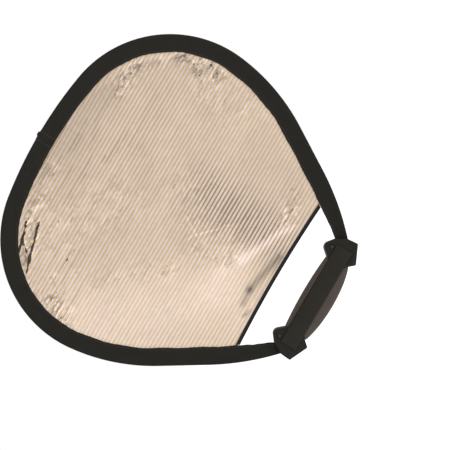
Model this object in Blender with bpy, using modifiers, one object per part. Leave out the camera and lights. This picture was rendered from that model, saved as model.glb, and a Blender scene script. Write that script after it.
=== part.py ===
"""Collapsible hand-held reflector: a sprung hoop in a folded binding, two striped panels and a handle.

Metres, +Z up. The disc stands in the XZ plane with its warm face towards -Y, and the origin is the middle of
the grip. Every length below is in millimetres and is turned into metres by MM.
"""

import math

import bmesh
import bpy
from mathutils import Matrix, Vector

MM = 0.001
GAP = 0.3  # clearance kept between touching meshes

# The hoop's centre line: tangent arcs from the middle of the far side down the right-hand side to the lug.
HOOP_TOP = 426.6
# Each arc is (radius, degrees), and a straight stretch is (0, length).
HOOP_ARCS = ((586.0, 9.0), (157.0, 87.3), (270.0, 25.4), (0.0, 65.6), (362.0, 15.3))
ARC_STEP = 8.0  # degrees of an arc between two stations
LONGEST_STEP = 30.0
HOOP_HALF_WIDTH = 2.5  # across the disc, along Y
HOOP_HALF_THICK = 0.5

# The reflector bends about this line. The band each side of it flexes, and belongs to neither rigid half.
BEND_Z = 220.0
FLEX_HALF = 14.0

# Binding: a tape folded over the hoop. Offsets run outwards from the hoop's centre line.
BINDING_OUT = 1.5
BINDING_WIDTH = 23.9
BINDING_WIDTH_AT_LUG = 16.6
NARROWING = 62.0  # the last stretch before the lug, where the tape is gathered
TAPE_THICK = 0.75
FLAP_INSIDE = 1.05  # half of the space between the two flaps
HOOP_ROOM = 2.85  # half of the space round the hoop

# Panels: two sheets back to back, held between the binding's flaps.
PANEL_EDGE = -14.0
PANEL_THICK = 0.6
PANEL_INSIDE = 0.15
CUT_END = Vector((112.0, 56.7))
CUT_MIDDLE_Z = 60.2
CUT_TAPE_HALF = 2.5

# Handle, seen from the front: corners (x, z, radius) of the right-hand half, from the top edge round the lug.
BEAM_HALF = 11.75
LUG_CORNERS = (
    (51.2, BEAM_HALF, 1.5),
    (66.0, 28.4, 8.0),
    (80.0, 17.2, 1.6),
    (88.2, 2.6, 1.6),
    (89.5, -12.0, 1.6),
    (63.2, -24.2, 1.8),
    (52.4, -BEAM_HALF, 1.5),
)
LUG_THICK = 11.7
SPINE_THICK = 14.0
SPINE_END = 74.5
EDGE_ROUND = 1.5
SPINE_ROUND = 1.6
FACET_DROP = 20.0  # degrees that the end of a lug slopes back by
FACET_STEP = 0.6  # from the spine's end to the start of that slope
POCKET_HALF_LONG = 47.5
POCKET_HALF_WIDE = 8.2
POCKET_FLOOR = 11.4
RIB_X = 16.5
RIB_HALF = 0.9
SHELL_GAP = 0.15

# Where the hoop enters a lug, measured inwards from the mouth.
SOCKET_DEPTH = 6.0
SOCKET_RUN_IN = 14.0  # how far outside the mouth the cut starts
POCKET_START = 8.2
POCKET_END = 20.9
FERRULE_HALF = (3.5, 4.0)
FERRULE_ROOM = 0.4
FERRULE_SLOT_HALF = 0.85
CHANNEL_HALF = 1.0
HOOP_PAST_MOUTH = 19.4

# Rubber inserts on the two sides of the beam.
GRIP_HALF_LONG = {"inner": 51.0, "outer": 51.9}
GRIP_END_SLANT = 0.87  # the ends lean out along the lugs' inner edges
GRIP_THICK = 11.9
# How far each insert stands out from the beam's middle line, at its ends and at its middle.
GRIP_RISE = {"inner": (15.6, 18.4), "outer": (17.7, 26.2)}
TONGUE_HALF = 2.0
TONGUE_ROOT = 9.7
GROOVE_FLOOR = 9.3

# Screws and nuts that clamp the two shells, one by each mouth.
SCREW_X, SCREW_Z = 68.5, 15.7
SCREW_R, HOLE_R, HEAD_R, RECESS_R = 1.5, 1.85, 2.8, 3.5
HEAD_FACE, HEAD_SEAT, SCREW_TIP = 11.0, 8.9, 10.9
NUT_ACROSS_FLATS = 5.5
NUT_SEAT, NUT_FACE = 8.6, 10.9
THROUGH = 20.0  # half length of a cutter that runs through everything


def material(name, colour, roughness, metallic=0.0):
    """A plain Principled material."""
    made = bpy.data.materials.new(name)
    made.use_nodes = True
    shader = made.node_tree.nodes["Principled BSDF"]
    shader.inputs["Base Color"].default_value = (*colour, 1.0)
    shader.inputs["Roughness"].default_value = roughness
    shader.inputs["Metallic"].default_value = metallic
    return made


def new_collection(name):
    """A collection in the scene."""
    made = bpy.data.collections.new(name)
    bpy.context.scene.collection.children.link(made)
    return made


def place(obj, collection):
    """Keeps obj in one collection only."""
    for other in list(obj.users_collection):
        other.objects.unlink(obj)
    collection.objects.link(obj)
    return obj


# ---------------------------------------------------------------- the hoop's line


def hoop_line(past_mouth=0.0):
    """Stations (s, x, z, heading) of the right-hand half, from the top. Headings turn clockwise from +X."""
    s, x, z, heading = 0.0, 0.0, HOOP_TOP, 0.0
    stations = [(s, x, z, heading)]
    for radius, amount in HOOP_ARCS:
        turn = math.radians(amount) if radius else 0.0
        length = radius * turn if radius else amount
        steps = max(math.ceil(math.degrees(turn) / ARC_STEP), math.ceil(length / LONGEST_STEP))
        for _ in range(steps):
            middle = heading + turn / steps / 2
            chord = 2 * radius * math.sin(turn / steps / 2) if radius else length / steps
            x += chord * math.cos(middle)
            z -= chord * math.sin(middle)
            heading += turn / steps
            s += length / steps
            stations.append((s, x, z, heading))
    if past_mouth:
        x += past_mouth * math.cos(heading)
        z -= past_mouth * math.sin(heading)
        stations.append((s + past_mouth, x, z, heading))
    return stations


MOUTH_S, MOUTH_X, MOUTH_Z, MOUTH_HEADING = hoop_line()[-1]


def between(a, b, t):
    """The station a share t of the way from a to b."""
    return tuple(p + (q - p) * t for p, q in zip(a, b))


def at_height(z):
    """The arc length at which the right-hand half passes height z on its way down."""
    line = hoop_line()
    for a, b in zip(line, line[1:]):
        if b[2] <= z < a[2]:
            return between(a, b, (a[2] - z) / (a[2] - b[2]))[0]
    raise ValueError(f"the hoop never passes {z}")


def stretch(start, end, past_mouth=0.0):
    """The stations between two arc lengths, with one exactly at each of them."""
    line = hoop_line(past_mouth)
    kept = []
    for a, b in zip(line, line[1:]):
        span = b[0] - a[0]
        for limit in (start, end):
            if a[0] <= limit < b[0] or (limit == end == b[0]):
                kept.append(between(a, b, (limit - a[0]) / span))
        if start < b[0] < end:
            kept.append(b)
    return sorted(kept)


def offset_point(station, offset):
    """The point that lies offset millimetres outside the hoop's line."""
    _, x, z, heading = station
    return x + offset * math.sin(heading), z + offset * math.cos(heading)


def binding_width(s):
    """The tape's width at arc length s: full, then gathered over the last stretch before the mouth."""
    gathered = min(max((s - (MOUTH_S - NARROWING)) / NARROWING, 0.0), 1.0)
    return BINDING_WIDTH + (BINDING_WIDTH_AT_LUG - BINDING_WIDTH) * gathered


def inner_edge_at(z):
    """How far from the middle the binding's inner edge is at height z, near the handle."""
    edge = [offset_point(station, BINDING_OUT - binding_width(station[0])) for station in hoop_line()]
    for (x0, z0), (x1, z1) in zip(edge, edge[1:]):
        if z1 <= z < z0:
            return x0 + (x1 - x0) * (z0 - z) / (z0 - z1)
    raise ValueError(f"the binding never passes {z}")


# ---------------------------------------------------------------- mesh makers


def finish_mesh(name, mesh, collection, finish):
    """An object for a finished mesh, in its collection and material."""
    obj = bpy.data.objects.new(name, mesh)
    collection.objects.link(obj)
    if finish:
        mesh.materials.clear()
        mesh.materials.append(finish)
    return obj


def loft(name, rings, collection, finish):
    """A closed solid through rings of points, each ring in the same order, with its two ends capped."""
    shape = bmesh.new()
    made = [[shape.verts.new(Vector(p) * MM) for p in ring] for ring in rings]
    count = len(made[0])
    for a, b in zip(made, made[1:]):
        for i in range(count):
            j = (i + 1) % count
            shape.faces.new((a[i], a[j], b[j], b[i]))
    shape.faces.new(made[0][::-1])
    shape.faces.new(made[-1])
    bmesh.ops.recalc_face_normals(shape, faces=shape.faces)
    mesh = bpy.data.meshes.new(name)
    shape.to_mesh(mesh)
    shape.free()
    mesh.shade_smooth()
    mesh.set_sharp_from_angle(angle=math.radians(35))
    return finish_mesh(name, mesh, collection, finish)


def sweep(name, stations, section, side, collection, finish):
    """A section carried along the hoop's line. side is 1 for the right-hand half and -1 for the left."""
    rings = []
    for station in stations:
        ring = []
        for offset, y in section(station[0]):
            x, z = offset_point(station, offset)
            ring.append((side * x, y, z))
        rings.append(ring)
    return loft(name, rings, collection, finish)


def rounded(corners):
    """The points of a closed outline whose corners (x, z, radius) are rounded with arcs."""
    points = []
    for i, (x, z, radius) in enumerate(corners):
        corner = Vector((x, z))
        if radius <= 0:
            points.append(corner)
            continue
        before = (Vector(corners[i - 1][:2]) - corner).normalized()
        after = (Vector(corners[(i + 1) % len(corners)][:2]) - corner).normalized()
        half = before.angle(after) / 2
        centre = corner + (before + after).normalized() * (radius / math.sin(half))
        first = corner + before * (radius / math.tan(half)) - centre
        last = corner + after * (radius / math.tan(half)) - centre
        swing = first.angle_signed(last)
        steps = max(2, math.ceil(abs(math.degrees(swing)) / 22))
        for k in range(steps + 1):
            points.append(centre + Matrix.Rotation(-swing * k / steps, 2) @ first)
    return points


def flat_plate(name, outline, y_low, y_high, collection, finish=None, rounding=0.0):
    """A flat outline in the XZ plane: a filled 2D curve, extruded, its rim rounded, and made a mesh."""
    curve = bpy.data.curves.new(name, "CURVE")
    curve.dimensions = "2D"
    curve.fill_mode = "BOTH"
    curve.extrude = ((y_high - y_low) / 2 - rounding) * MM
    curve.bevel_depth = rounding * MM
    curve.bevel_resolution = 1
    curve.offset = -rounding * MM
    spline = curve.splines.new("POLY")
    spline.points.add(len(outline) - 1)
    for point, (x, z) in zip(spline.points, outline):
        point.co = (x * MM, z * MM, 0, 1)
    spline.use_cyclic_u = True
    guide = bpy.data.objects.new(name + "_outline", curve)
    collection.objects.link(guide)
    guide.rotation_euler = (math.pi / 2, 0, 0)
    guide.location = (0, (y_low + y_high) / 2 * MM, 0)
    bpy.context.view_layer.update()
    graph = bpy.context.evaluated_depsgraph_get()
    mesh = bpy.data.meshes.new_from_object(guide.evaluated_get(graph))
    shape = bmesh.new()
    shape.from_mesh(mesh)
    bmesh.ops.remove_doubles(shape, verts=shape.verts, dist=1e-6)
    bmesh.ops.recalc_face_normals(shape, faces=shape.faces)
    shape.to_mesh(mesh)
    shape.free()
    obj = finish_mesh(name, mesh, collection, finish)
    obj.matrix_world = guide.matrix_world
    bpy.data.objects.remove(guide)
    return obj


def box(name, low, high, collection, finish=None, turn=None):
    """A cube primitive stretched between two corners, and turned about a Y axis through turn's point."""
    bpy.ops.mesh.primitive_cube_add(size=1)
    obj = bpy.context.object
    obj.name = name
    low, high = Vector(low) * MM, Vector(high) * MM
    obj.data.transform(Matrix.Translation((low + high) / 2) @ Matrix.Diagonal((*(high - low), 1)))
    if turn:
        angle, (x, z) = turn
        obj.data.transform(Matrix.Translation((x * MM, 0, z * MM)) @ Matrix.Rotation(angle, 4, "Y"))
    if finish:
        obj.data.materials.append(finish)
    return place(obj, collection)


def turned(name, profile, centre, collection, finish, steps=16):
    """A profile of (radius, y) from one end to the other, turned about the Y line through centre."""
    mesh = bpy.data.meshes.new(name)
    points = [(r * MM, 0, y * MM) for r, y in profile]
    mesh.from_pydata(points, [(i, i + 1) for i in range(len(points) - 1)], [])
    obj = finish_mesh(name, mesh, collection, finish)
    spin = obj.modifiers.new("Turn", "SCREW")
    spin.steps = spin.render_steps = steps
    spin.use_merge_vertices = True
    spin.merge_threshold = 1e-5
    spin.use_normal_flip = True
    obj.rotation_euler = (-math.pi / 2, 0, 0)  # the profile's own Z becomes +Y
    obj.location = (centre[0] * MM, 0, centre[1] * MM)
    return obj


def cut_with(obj, cutters, operation="DIFFERENCE"):
    """Adds one exact Boolean for each cutter."""
    for cutter in cutters:
        step = obj.modifiers.new(cutter.name, "BOOLEAN")
        step.operation = operation
        step.solver = "EXACT"
        step.object = cutter


def hide_helper(obj):
    """Marks a cutter or a joined-in shape, which is no part of its own."""
    obj.hide_render = True
    obj.display_type = "WIRE"
    return obj


# ---------------------------------------------------------------- hoop, binding and panels


def hoop_section(_):
    """The flat spring-steel strip, wide way across the disc."""
    t, w = HOOP_HALF_THICK, HOOP_HALF_WIDTH
    return [(-t, -w), (t, -w), (t, w), (-t, w)]


def binding_section(s):
    """The folded tape: a U open towards the panels, roomy round the hoop, as (offset, y) points."""
    inner_edge = BINDING_OUT - binding_width(s)
    bend = max(inner_edge * 0.55, -12.0)
    half = [
        (inner_edge, FLAP_INSIDE, FLAP_INSIDE + TAPE_THICK),
        (bend, FLAP_INSIDE + 0.05, FLAP_INSIDE + TAPE_THICK + 0.1),
        (-3.5, HOOP_ROOM - 0.05, HOOP_ROOM + TAPE_THICK - 0.1),
        (0.2, HOOP_ROOM, HOOP_ROOM + TAPE_THICK),
    ]
    fold_out, fold_in = (BINDING_OUT, 2.4), (BINDING_OUT - TAPE_THICK + 0.1, 2.1)
    front_out = [(n, -out) for n, _, out in half]
    back_out = [(n, out) for n, _, out in reversed(half)]
    back_in = [(n, inside) for n, inside, _ in half]
    front_in = [(n, -inside) for n, inside, _ in reversed(half)]
    fold = [(fold_out[0], -fold_out[1]), fold_out]
    lining = [fold_in, (fold_in[0], -fold_in[1])]
    return front_out + fold + back_out + back_in + lining + front_in


def zones():
    """The arc lengths of the far side, the flexing band and the handle side, with gaps between them."""
    upper, lower = at_height(BEND_Z + FLEX_HALF), at_height(BEND_Z - FLEX_HALF)
    return {
        "upper": (0.0, upper - GAP / 2),
        "flex": (upper + GAP / 2, lower - GAP / 2),
        "lower": (lower + GAP / 2, MOUTH_S),
    }


def make_hoop(parts, steel):
    """The spring steel hoop: one arc on the far side, and a flexing piece and a leg for each side."""
    zone = zones()
    right = stretch(*zone["upper"])
    whole = [(s, -x, z, -h) for s, x, z, h in reversed(right[1:])] + right
    sweep("hoop_upper", whole, hoop_section, 1, parts, steel)
    for side, name in ((1, "right"), (-1, "left")):
        sweep(f"hoop_flex_{name}", stretch(*zone["flex"]), hoop_section, side, parts, steel)
        leg = stretch(zone["lower"][0], MOUTH_S + HOOP_PAST_MOUTH, HOOP_PAST_MOUTH)
        sweep(f"hoop_lower_{name}", leg, hoop_section, side, parts, steel)


def make_binding(parts, tape):
    """The two lengths of folded binding, which meet at the middle of the far side, and their joining tab."""
    zone = zones()
    for side, name in ((1, "right"), (-1, "left")):
        sweep(f"binding_upper_{name}", stretch(GAP / 2, zone["upper"][1]), binding_section, side, parts, tape)
        sweep(f"binding_flex_{name}", stretch(*zone["flex"]), binding_section, side, parts, tape)
        line = stretch(zone["lower"][0], MOUTH_S + SOCKET_DEPTH - GAP, SOCKET_DEPTH)
        sweep(f"binding_lower_{name}", line, binding_section, side, parts, tape)
    tab_low = HOOP_TOP + BINDING_OUT + GAP
    foot = [(-3.4, tab_low, 0), (3.2, tab_low, 0)]
    tab = rounded([*foot, (2.0, tab_low + 1.9, 0.7), (-2.6, tab_low + 1.6, 0.7)])
    flat_plate("binding_join_tab", tab, -1.5, 1.5, parts, tape)


def cut_edge_z(x, rise=0.0):
    """Height of the panels' cut edge, a shallow arc that the tension bows away from the handle."""
    return CUT_MIDDLE_Z + (CUT_END.y - CUT_MIDDLE_Z) * (x / CUT_END.x) ** 2 + rise


def panel_outline(zone):
    """The right-hand half of a panel's outline in one zone, from top to bottom, as (x, z) points."""
    line = [offset_point(station, PANEL_EDGE) for station in hoop_line()]
    top, bottom = {
        "upper": (math.inf, BEND_Z + FLEX_HALF + GAP / 2),
        "flex": (BEND_Z + FLEX_HALF - GAP / 2, BEND_Z - FLEX_HALF + GAP / 2),
        "lower": (BEND_Z - FLEX_HALF - GAP / 2, None),
    }[zone]
    points = []
    for (x0, z0), (x1, z1) in zip(line, line[1:]):
        floor = cut_edge_z(x1) if bottom is None else bottom
        for limit in (top, floor):
            if z1 < limit <= z0:
                t = (z0 - limit) / (z0 - z1)
                points.append((x0 + (x1 - x0) * t, limit))
        if floor < z1 < top:
            points.append((x1, z1))
    return points


def make_panels(parts, warm, silver):
    """The warm front panel and the silver back panel, each in three zones, sewn back to back."""
    outside = PANEL_INSIDE + PANEL_THICK
    sheets = (("front", -outside, -PANEL_INSIDE, warm), ("back", PANEL_INSIDE, outside, silver))
    for zone in ("upper", "flex", "lower"):
        right = panel_outline(zone)
        outline = right + [(-x, z) for x, z in reversed(right)]
        if zone == "lower":
            reach = right[-1][0]
            bow = [reach * (1 - k / 4) for k in range(1, 8)]
            outline = right + [(x, cut_edge_z(x)) for x in bow] + [(-x, z) for x, z in reversed(right)]
        for name, low, high, finish in sheets:
            flat_plate(f"{name}_panel_{zone}", outline, low, high, parts, finish)


def make_cut_edge_tape(parts, tape):
    """The narrow tape folded over the panels' straight edge, from flap to flap of the binding."""
    low, high = (inner_edge_at(CUT_END.y + dz) for dz in (-CUT_TAPE_HALF, CUT_TAPE_HALF))
    reach, slant = (low + high) / 2 - 2 * GAP, (high - low) / (2 * CUT_TAPE_HALF)
    sheet = PANEL_INSIDE + PANEL_THICK + GAP
    outer = sheet + 0.7
    rings = []
    for k in range(9):
        x = reach * (k / 4 - 1)
        z = cut_edge_z(x)
        profile = [(CUT_TAPE_HALF, outer), (-CUT_TAPE_HALF + 0.5, outer), (-CUT_TAPE_HALF, outer - 0.5)]
        lining = [(-GAP - 0.1, sheet), (CUT_TAPE_HALF, sheet)]
        half = [(x * (1 + slant * dz / reach), y, z + dz) for dz, y in [*lining, *profile]]
        rings.append(half + [(px, -y, pz) for px, y, pz in reversed(half)])
    loft("cut_edge_tape", rings, parts, tape)


# ---------------------------------------------------------------- handle


def into_lug(side, near, far, low, high, y_half, name, helpers):
    """A cutter along the hoop's way into a lug, between two depths and two offsets from the hoop's line."""
    angle = MOUTH_HEADING if side > 0 else math.pi - MOUTH_HEADING
    offsets = (low, high) if side > 0 else (-high, -low)
    turn = (angle, (side * MOUTH_X, MOUTH_Z))
    return hide_helper(box(name, (near, -y_half, offsets[0]), (far, y_half, offsets[1]), helpers, turn=turn))


def hoop_way_cutters(side, name, helpers):
    """What the hoop's end needs in a lug: the binding's socket, a channel, and the ferrule's pocket."""
    inner_edge = BINDING_OUT - BINDING_WIDTH_AT_LUG - GAP
    half_tape = HOOP_ROOM + TAPE_THICK + GAP
    wide, deep = (half + FERRULE_ROOM for half in FERRULE_HALF)
    runs = (
        ("socket", -SOCKET_RUN_IN, SOCKET_DEPTH, inner_edge, BINDING_OUT + GAP, half_tape),
        ("channel", 0, POCKET_END - 1, -CHANNEL_HALF, CHANNEL_HALF, HOOP_HALF_WIDTH + FERRULE_ROOM),
        ("ferrule_pocket", POCKET_START, POCKET_END, -wide, wide, deep),
    )
    return [into_lug(side, *run, f"{kind}_{name}", helpers) for kind, *run in runs]


def screw_cutter(side, name, helpers):
    """The stepped hole through both shells: the nut's recess, the shank's hole and the head's recess."""
    low, high = -(NUT_SEAT - GAP), HEAD_SEAT - GAP
    nut_recess = [(0, -THROUGH), (RECESS_R, -THROUGH), (RECESS_R, low), (HOLE_R, low)]
    head_recess = [(HOLE_R, high), (RECESS_R, high), (RECESS_R, THROUGH), (0, THROUGH)]
    where = (side * SCREW_X, SCREW_Z)
    return hide_helper(turned(f"screw_hole_{name}", nut_recess + head_recess, where, helpers, None))


def end_facet_cutter(side, face, name, helpers):
    """A block that slopes one face of a lug back towards its outer end."""
    facet = box(f"facet_{name}_{face}", (0, 0, -40), (30, 30, 40), helpers)
    lean = Matrix.Rotation(math.radians(-FACET_DROP), 4, "Z")
    start = Matrix.Translation(((SPINE_END + FACET_STEP) * MM, (LUG_THICK - 0.2) * MM, 0))
    facet.data.transform(Matrix.Diagonal((side, face, 1, 1)) @ start @ lean)
    if side * face < 0:
        facet.data.flip_normals()
    return hide_helper(facet)


def handle_cutters(helpers):
    """What is cut out of both shells."""
    made = []
    for side, name in ((1, "right"), (-1, "left")):
        made += hoop_way_cutters(side, name, helpers)
        made.append(screw_cutter(side, name, helpers))
        made += [end_facet_cutter(side, face, name, helpers) for face in (1, -1)]
        floor, mouth = sorted((side * GROOVE_FLOOR, side * (BEAM_HALF + 1)))
        long, half = GRIP_HALF_LONG["inner" if side > 0 else "outer"] + GAP, TONGUE_HALF + GAP
        groove = box(f"groove_{name}", (-long, -half, floor), (long, half, mouth), helpers)
        made.append(hide_helper(groove))
    walls = (-POCKET_HALF_LONG, -RIB_X, RIB_X, POCKET_HALF_LONG)
    for k, (start, end) in enumerate(zip(walls, walls[1:])):
        low = (start + RIB_HALF, -POCKET_FLOOR, -POCKET_HALF_WIDE)
        high = (end - RIB_HALF, POCKET_FLOOR, POCKET_HALF_WIDE)
        made.append(hide_helper(box(f"hollow_{k}", low, high, helpers)))
    return made


def make_handle_shells(parts, helpers, plastic):
    """The two moulded halves, split at the disc's plane: lugs and beam in one, with a raised spine."""
    right = list(LUG_CORNERS)
    left = [(-x, z, r) for x, z, r in reversed(right)]
    outline = rounded(right + left)
    cutters = handle_cutters(helpers)
    for name, face in (("handle_front_shell", -1), ("handle_back_shell", 1)):
        shell = flat_plate(name, outline, -LUG_THICK, LUG_THICK, parts, plastic, EDGE_ROUND)
        low = (-SPINE_END, -SPINE_THICK, -BEAM_HALF + 0.1)
        high = (SPINE_END, SPINE_THICK, BEAM_HALF - 0.1)
        spine = hide_helper(box(f"{name}_spine", low, high, helpers))
        round_spine = spine.modifiers.new("Rounded spine", "BEVEL")
        round_spine.width = SPINE_ROUND * MM
        round_spine.segments = 2
        away = sorted((face * SHELL_GAP, -face * 30))
        other_half = hide_helper(box(f"{name}_other_half", (-120, away[0], -60), (120, away[1], 60), helpers))
        cut_with(shell, [spine], "UNION")
        cut_with(shell, [*cutters, other_half])


def make_grip_inserts(parts, rubber):
    """The two rubber inserts, half-round outside, each with a tongue held in a groove between the shells."""
    for name, (end_rise, middle_rise) in GRIP_RISE.items():
        side, half_long = (1 if name == "inner" else -1), GRIP_HALF_LONG[name]
        rings = []
        stations = [-1 + 2 * k / 12 for k in range(13)]
        for t in stations:
            x = half_long * t
            rise = end_rise + (middle_rise - end_rise) * (1 - t * t)
            root = BEAM_HALF + GAP
            ring = []
            for k in range(11):
                angle = math.pi * (k / 10 - 0.5)
                out = root + (rise - root) * math.cos(angle)
                ring.append((x, GRIP_THICK * math.sin(angle), side * out))
            half_tongue = [(TONGUE_HALF, root), (TONGUE_HALF, TONGUE_ROOT)]
            tongue = half_tongue + [(-y, z) for y, z in reversed(half_tongue)]
            ring += [(x, y, side * z) for y, z in tongue]
            lean = GRIP_END_SLANT / half_long
            rings.append([(x * (1 + lean * (abs(z) - root)), y, z) for x, y, z in ring])
        loft(f"{name}_grip_insert", rings, parts, rubber)


def make_fastenings(parts, helpers, zinc):
    """Ferrules crimped on the hoop's ends, and the screws and nuts that clamp the shells."""
    for side, name in ((1, "right"), (-1, "left")):
        angle = MOUTH_HEADING if side > 0 else math.pi - MOUTH_HEADING
        turn = (angle, (side * MOUTH_X, MOUTH_Z))
        wide, deep = FERRULE_HALF
        low, high = (POCKET_START + GAP, -deep, -wide), (POCKET_END - GAP, deep, wide)
        ferrule = box(f"hoop_ferrule_{name}", low, high, parts, zinc, turn)
        slot = into_lug(side, 0, 40, -FERRULE_SLOT_HALF, FERRULE_SLOT_HALF, HOOP_HALF_WIDTH + GAP,
                        f"ferrule_slot_{name}", helpers)
        cut_with(ferrule, [slot])
        where = (side * SCREW_X, SCREW_Z)
        shank = [(0, -SCREW_TIP), (SCREW_R, -SCREW_TIP), (SCREW_R, HEAD_SEAT)]
        head = [(HEAD_R, HEAD_SEAT), (HEAD_R, HEAD_FACE - 0.7), (HEAD_R - 0.8, HEAD_FACE), (0, HEAD_FACE)]
        turned(f"shell_screw_{name}", shank + head, where, parts, zinc)
        radius, depth = NUT_ACROSS_FLATS / math.sqrt(3) * MM, (NUT_FACE - NUT_SEAT) * MM
        bpy.ops.mesh.primitive_cylinder_add(vertices=6, radius=radius, depth=depth)
        nut = bpy.context.object
        nut.name = f"shell_nut_{name}"
        nut.data.transform(Matrix.Rotation(math.pi / 2, 4, "X"))
        nut.location = (where[0] * MM, -(NUT_FACE + NUT_SEAT) / 2 * MM, where[1] * MM)
        nut.data.materials.append(zinc)
        place(nut, parts)
        bore = [(0, -THROUGH), (SCREW_R + GAP, -THROUGH), (SCREW_R + GAP, THROUGH), (0, THROUGH)]
        cut_with(nut, [hide_helper(turned(f"nut_bore_{name}", bore, where, helpers, None))])


def main():
    """Builds the whole reflector."""
    for obj in list(bpy.data.objects):
        bpy.data.objects.remove(obj)
    parts, helpers = new_collection("collapsible_reflector"), new_collection("cutters")
    steel = material("spring_steel", (0.42, 0.43, 0.45), 0.35, 1.0)
    zinc = material("black_zinc", (0.06, 0.06, 0.058), 0.42, 1.0)
    tape = material("black_binding", (0.02, 0.02, 0.018), 0.85)
    warm = material("warm_stripe_fabric", (0.62, 0.49, 0.36), 0.35, 0.6)
    silver = material("silver_stripe_fabric", (0.66, 0.65, 0.66), 0.35, 0.6)
    plastic = material("black_plastic", (0.03, 0.028, 0.025), 0.5)
    rubber = material("taupe_rubber", (0.10, 0.085, 0.075), 0.75)
    make_hoop(parts, steel)
    make_binding(parts, tape)
    make_panels(parts, warm, silver)
    make_cut_edge_tape(parts, tape)
    make_handle_shells(parts, helpers, plastic)
    make_grip_inserts(parts, rubber)
    make_fastenings(parts, helpers, zinc)


main()
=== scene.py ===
"""The finished look of a collapsible hand-held reflector, dressed on its fixed CAD frame.

Metres, +Z up. The disc stands in the XZ plane with its warm face towards -Y, and the origin is the middle of
the grip. Lengths in the classes below are in millimetres unless they say otherwise. MM turns them into metres.
"""

import logging
import math
from dataclasses import dataclass, field
from enum import Enum
from typing import Iterable, Sequence

import bmesh
import bpy
import numpy as np
from mathutils import Matrix, Vector


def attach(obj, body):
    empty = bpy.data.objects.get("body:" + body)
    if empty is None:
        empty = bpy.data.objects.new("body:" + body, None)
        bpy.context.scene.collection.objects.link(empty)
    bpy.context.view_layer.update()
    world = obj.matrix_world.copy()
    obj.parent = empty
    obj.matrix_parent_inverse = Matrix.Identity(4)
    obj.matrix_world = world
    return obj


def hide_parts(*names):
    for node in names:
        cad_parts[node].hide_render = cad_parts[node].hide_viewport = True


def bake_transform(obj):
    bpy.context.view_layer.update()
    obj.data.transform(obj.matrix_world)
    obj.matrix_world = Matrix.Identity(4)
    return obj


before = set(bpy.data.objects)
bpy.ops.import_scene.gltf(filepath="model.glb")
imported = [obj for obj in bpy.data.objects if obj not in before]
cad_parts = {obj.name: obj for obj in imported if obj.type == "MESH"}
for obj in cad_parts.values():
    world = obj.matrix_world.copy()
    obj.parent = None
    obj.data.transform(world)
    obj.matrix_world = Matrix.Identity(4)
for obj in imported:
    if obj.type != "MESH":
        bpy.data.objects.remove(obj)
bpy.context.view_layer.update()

LOG = logging.getLogger("reflector")
MM = 0.001
GRIP_BODY, FAR_BODY = "grip_side", "far_side"
SIDES = ((1, "right"), (-1, "left"))
Point = tuple[float, float, float]


class Face(Enum):
    """The two faces of the disc. The value is the sign of Y on that face."""

    WARM = -1
    SILVER = 1


class Hold(Enum):
    """How a finished piece follows the frame."""

    GRIP = GRIP_BODY
    FAR = FAR_BODY
    BENDS = "bends"


@dataclass(frozen=True)
class BendBand:
    """The band of the disc that takes up the bend, in metres. Its limits are not read here; each piece is given
    its hold.
    """

    low: float = 0.120
    high: float = 0.320

    def attach(self, piece: bpy.types.Object, hold: Hold) -> None:
        """Parents a finished piece to its body, or, for a piece held as bending, applies its place to its mesh
        and leaves it unparented.

        Args:
            piece: the piece, with its final mesh at the origin.
            hold: which body it rides on, or BENDS, which puts it on neither body.
        """
        if hold is Hold.BENDS:
            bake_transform(piece)
        else:
            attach(piece, hold.value)


BAND = BendBand()


# ---------------------------------------------------------------- node trees


class Value:
    """One output socket of a node tree, with arithmetic that adds Math nodes."""

    def __init__(self, tree: "Tree", socket: bpy.types.NodeSocket) -> None:
        """Wraps a socket.

        Args:
            tree: the tree that the socket belongs to.
            socket: the output socket.
        """
        self.tree, self.socket = tree, socket

    def _math(self, operation: str, *others: "Value | float", clamp: bool = False) -> "Value":
        """A Math node on this value and others.

        Args:
            operation: the node's operation.
            others: its other inputs.
            clamp: whether the result is kept from 0 to 1.

        Returns:
            The node's result.
        """
        return self.tree.maths(operation, self, *others, clamp=clamp)

    def __add__(self, other: "Value | float") -> "Value":
        """The sum."""
        return self._math("ADD", other)

    __radd__ = __add__

    def __mul__(self, other: "Value | float") -> "Value":
        """The product."""
        return self._math("MULTIPLY", other)

    __rmul__ = __mul__

    def __sub__(self, other: "Value | float") -> "Value":
        """The difference."""
        return self._math("SUBTRACT", other)

    def __rsub__(self, other: "Value | float") -> "Value":
        """The reflected difference."""
        return self.tree.maths("SUBTRACT", other, self)

    def __truediv__(self, other: "Value | float") -> "Value":
        """The quotient."""
        return self._math("DIVIDE", other)

    def __neg__(self) -> "Value":
        """The value with its sign changed."""
        return self._math("MULTIPLY", -1.0)

    def __pow__(self, other: "Value | float") -> "Value":
        """The power."""
        return self._math("POWER", other)

    def sin(self) -> "Value":
        """The sine."""
        return self._math("SINE")

    def cos(self) -> "Value":
        """The cosine."""
        return self._math("COSINE")

    def fraction(self) -> "Value":
        """The part after the decimal point."""
        return self._math("FRACT")

    def absolute(self) -> "Value":
        """The size without its sign."""
        return self._math("ABSOLUTE")

    def at_least(self, other: "Value | float") -> "Value":
        """The larger of the two."""
        return self._math("MAXIMUM", other)

    def at_most(self, other: "Value | float") -> "Value":
        """The smaller of the two."""
        return self._math("MINIMUM", other)

    def clamped(self) -> "Value":
        """The value kept from 0 to 1."""
        return self._math("ADD", 0.0, clamp=True)

    def step(self, low: float, high: float) -> "Value":
        """A smooth rise from 0 at low to 1 at high.

        Args:
            low: where the rise starts.
            high: where it ends.

        Returns:
            The share of the rise, from 0 to 1.
        """
        settings = {"interpolation_type": "SMOOTHSTEP"}
        inputs = {"Value": self, "From Min": low, "From Max": high}
        return self.tree.node("ShaderNodeMapRange", settings, inputs)


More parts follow.
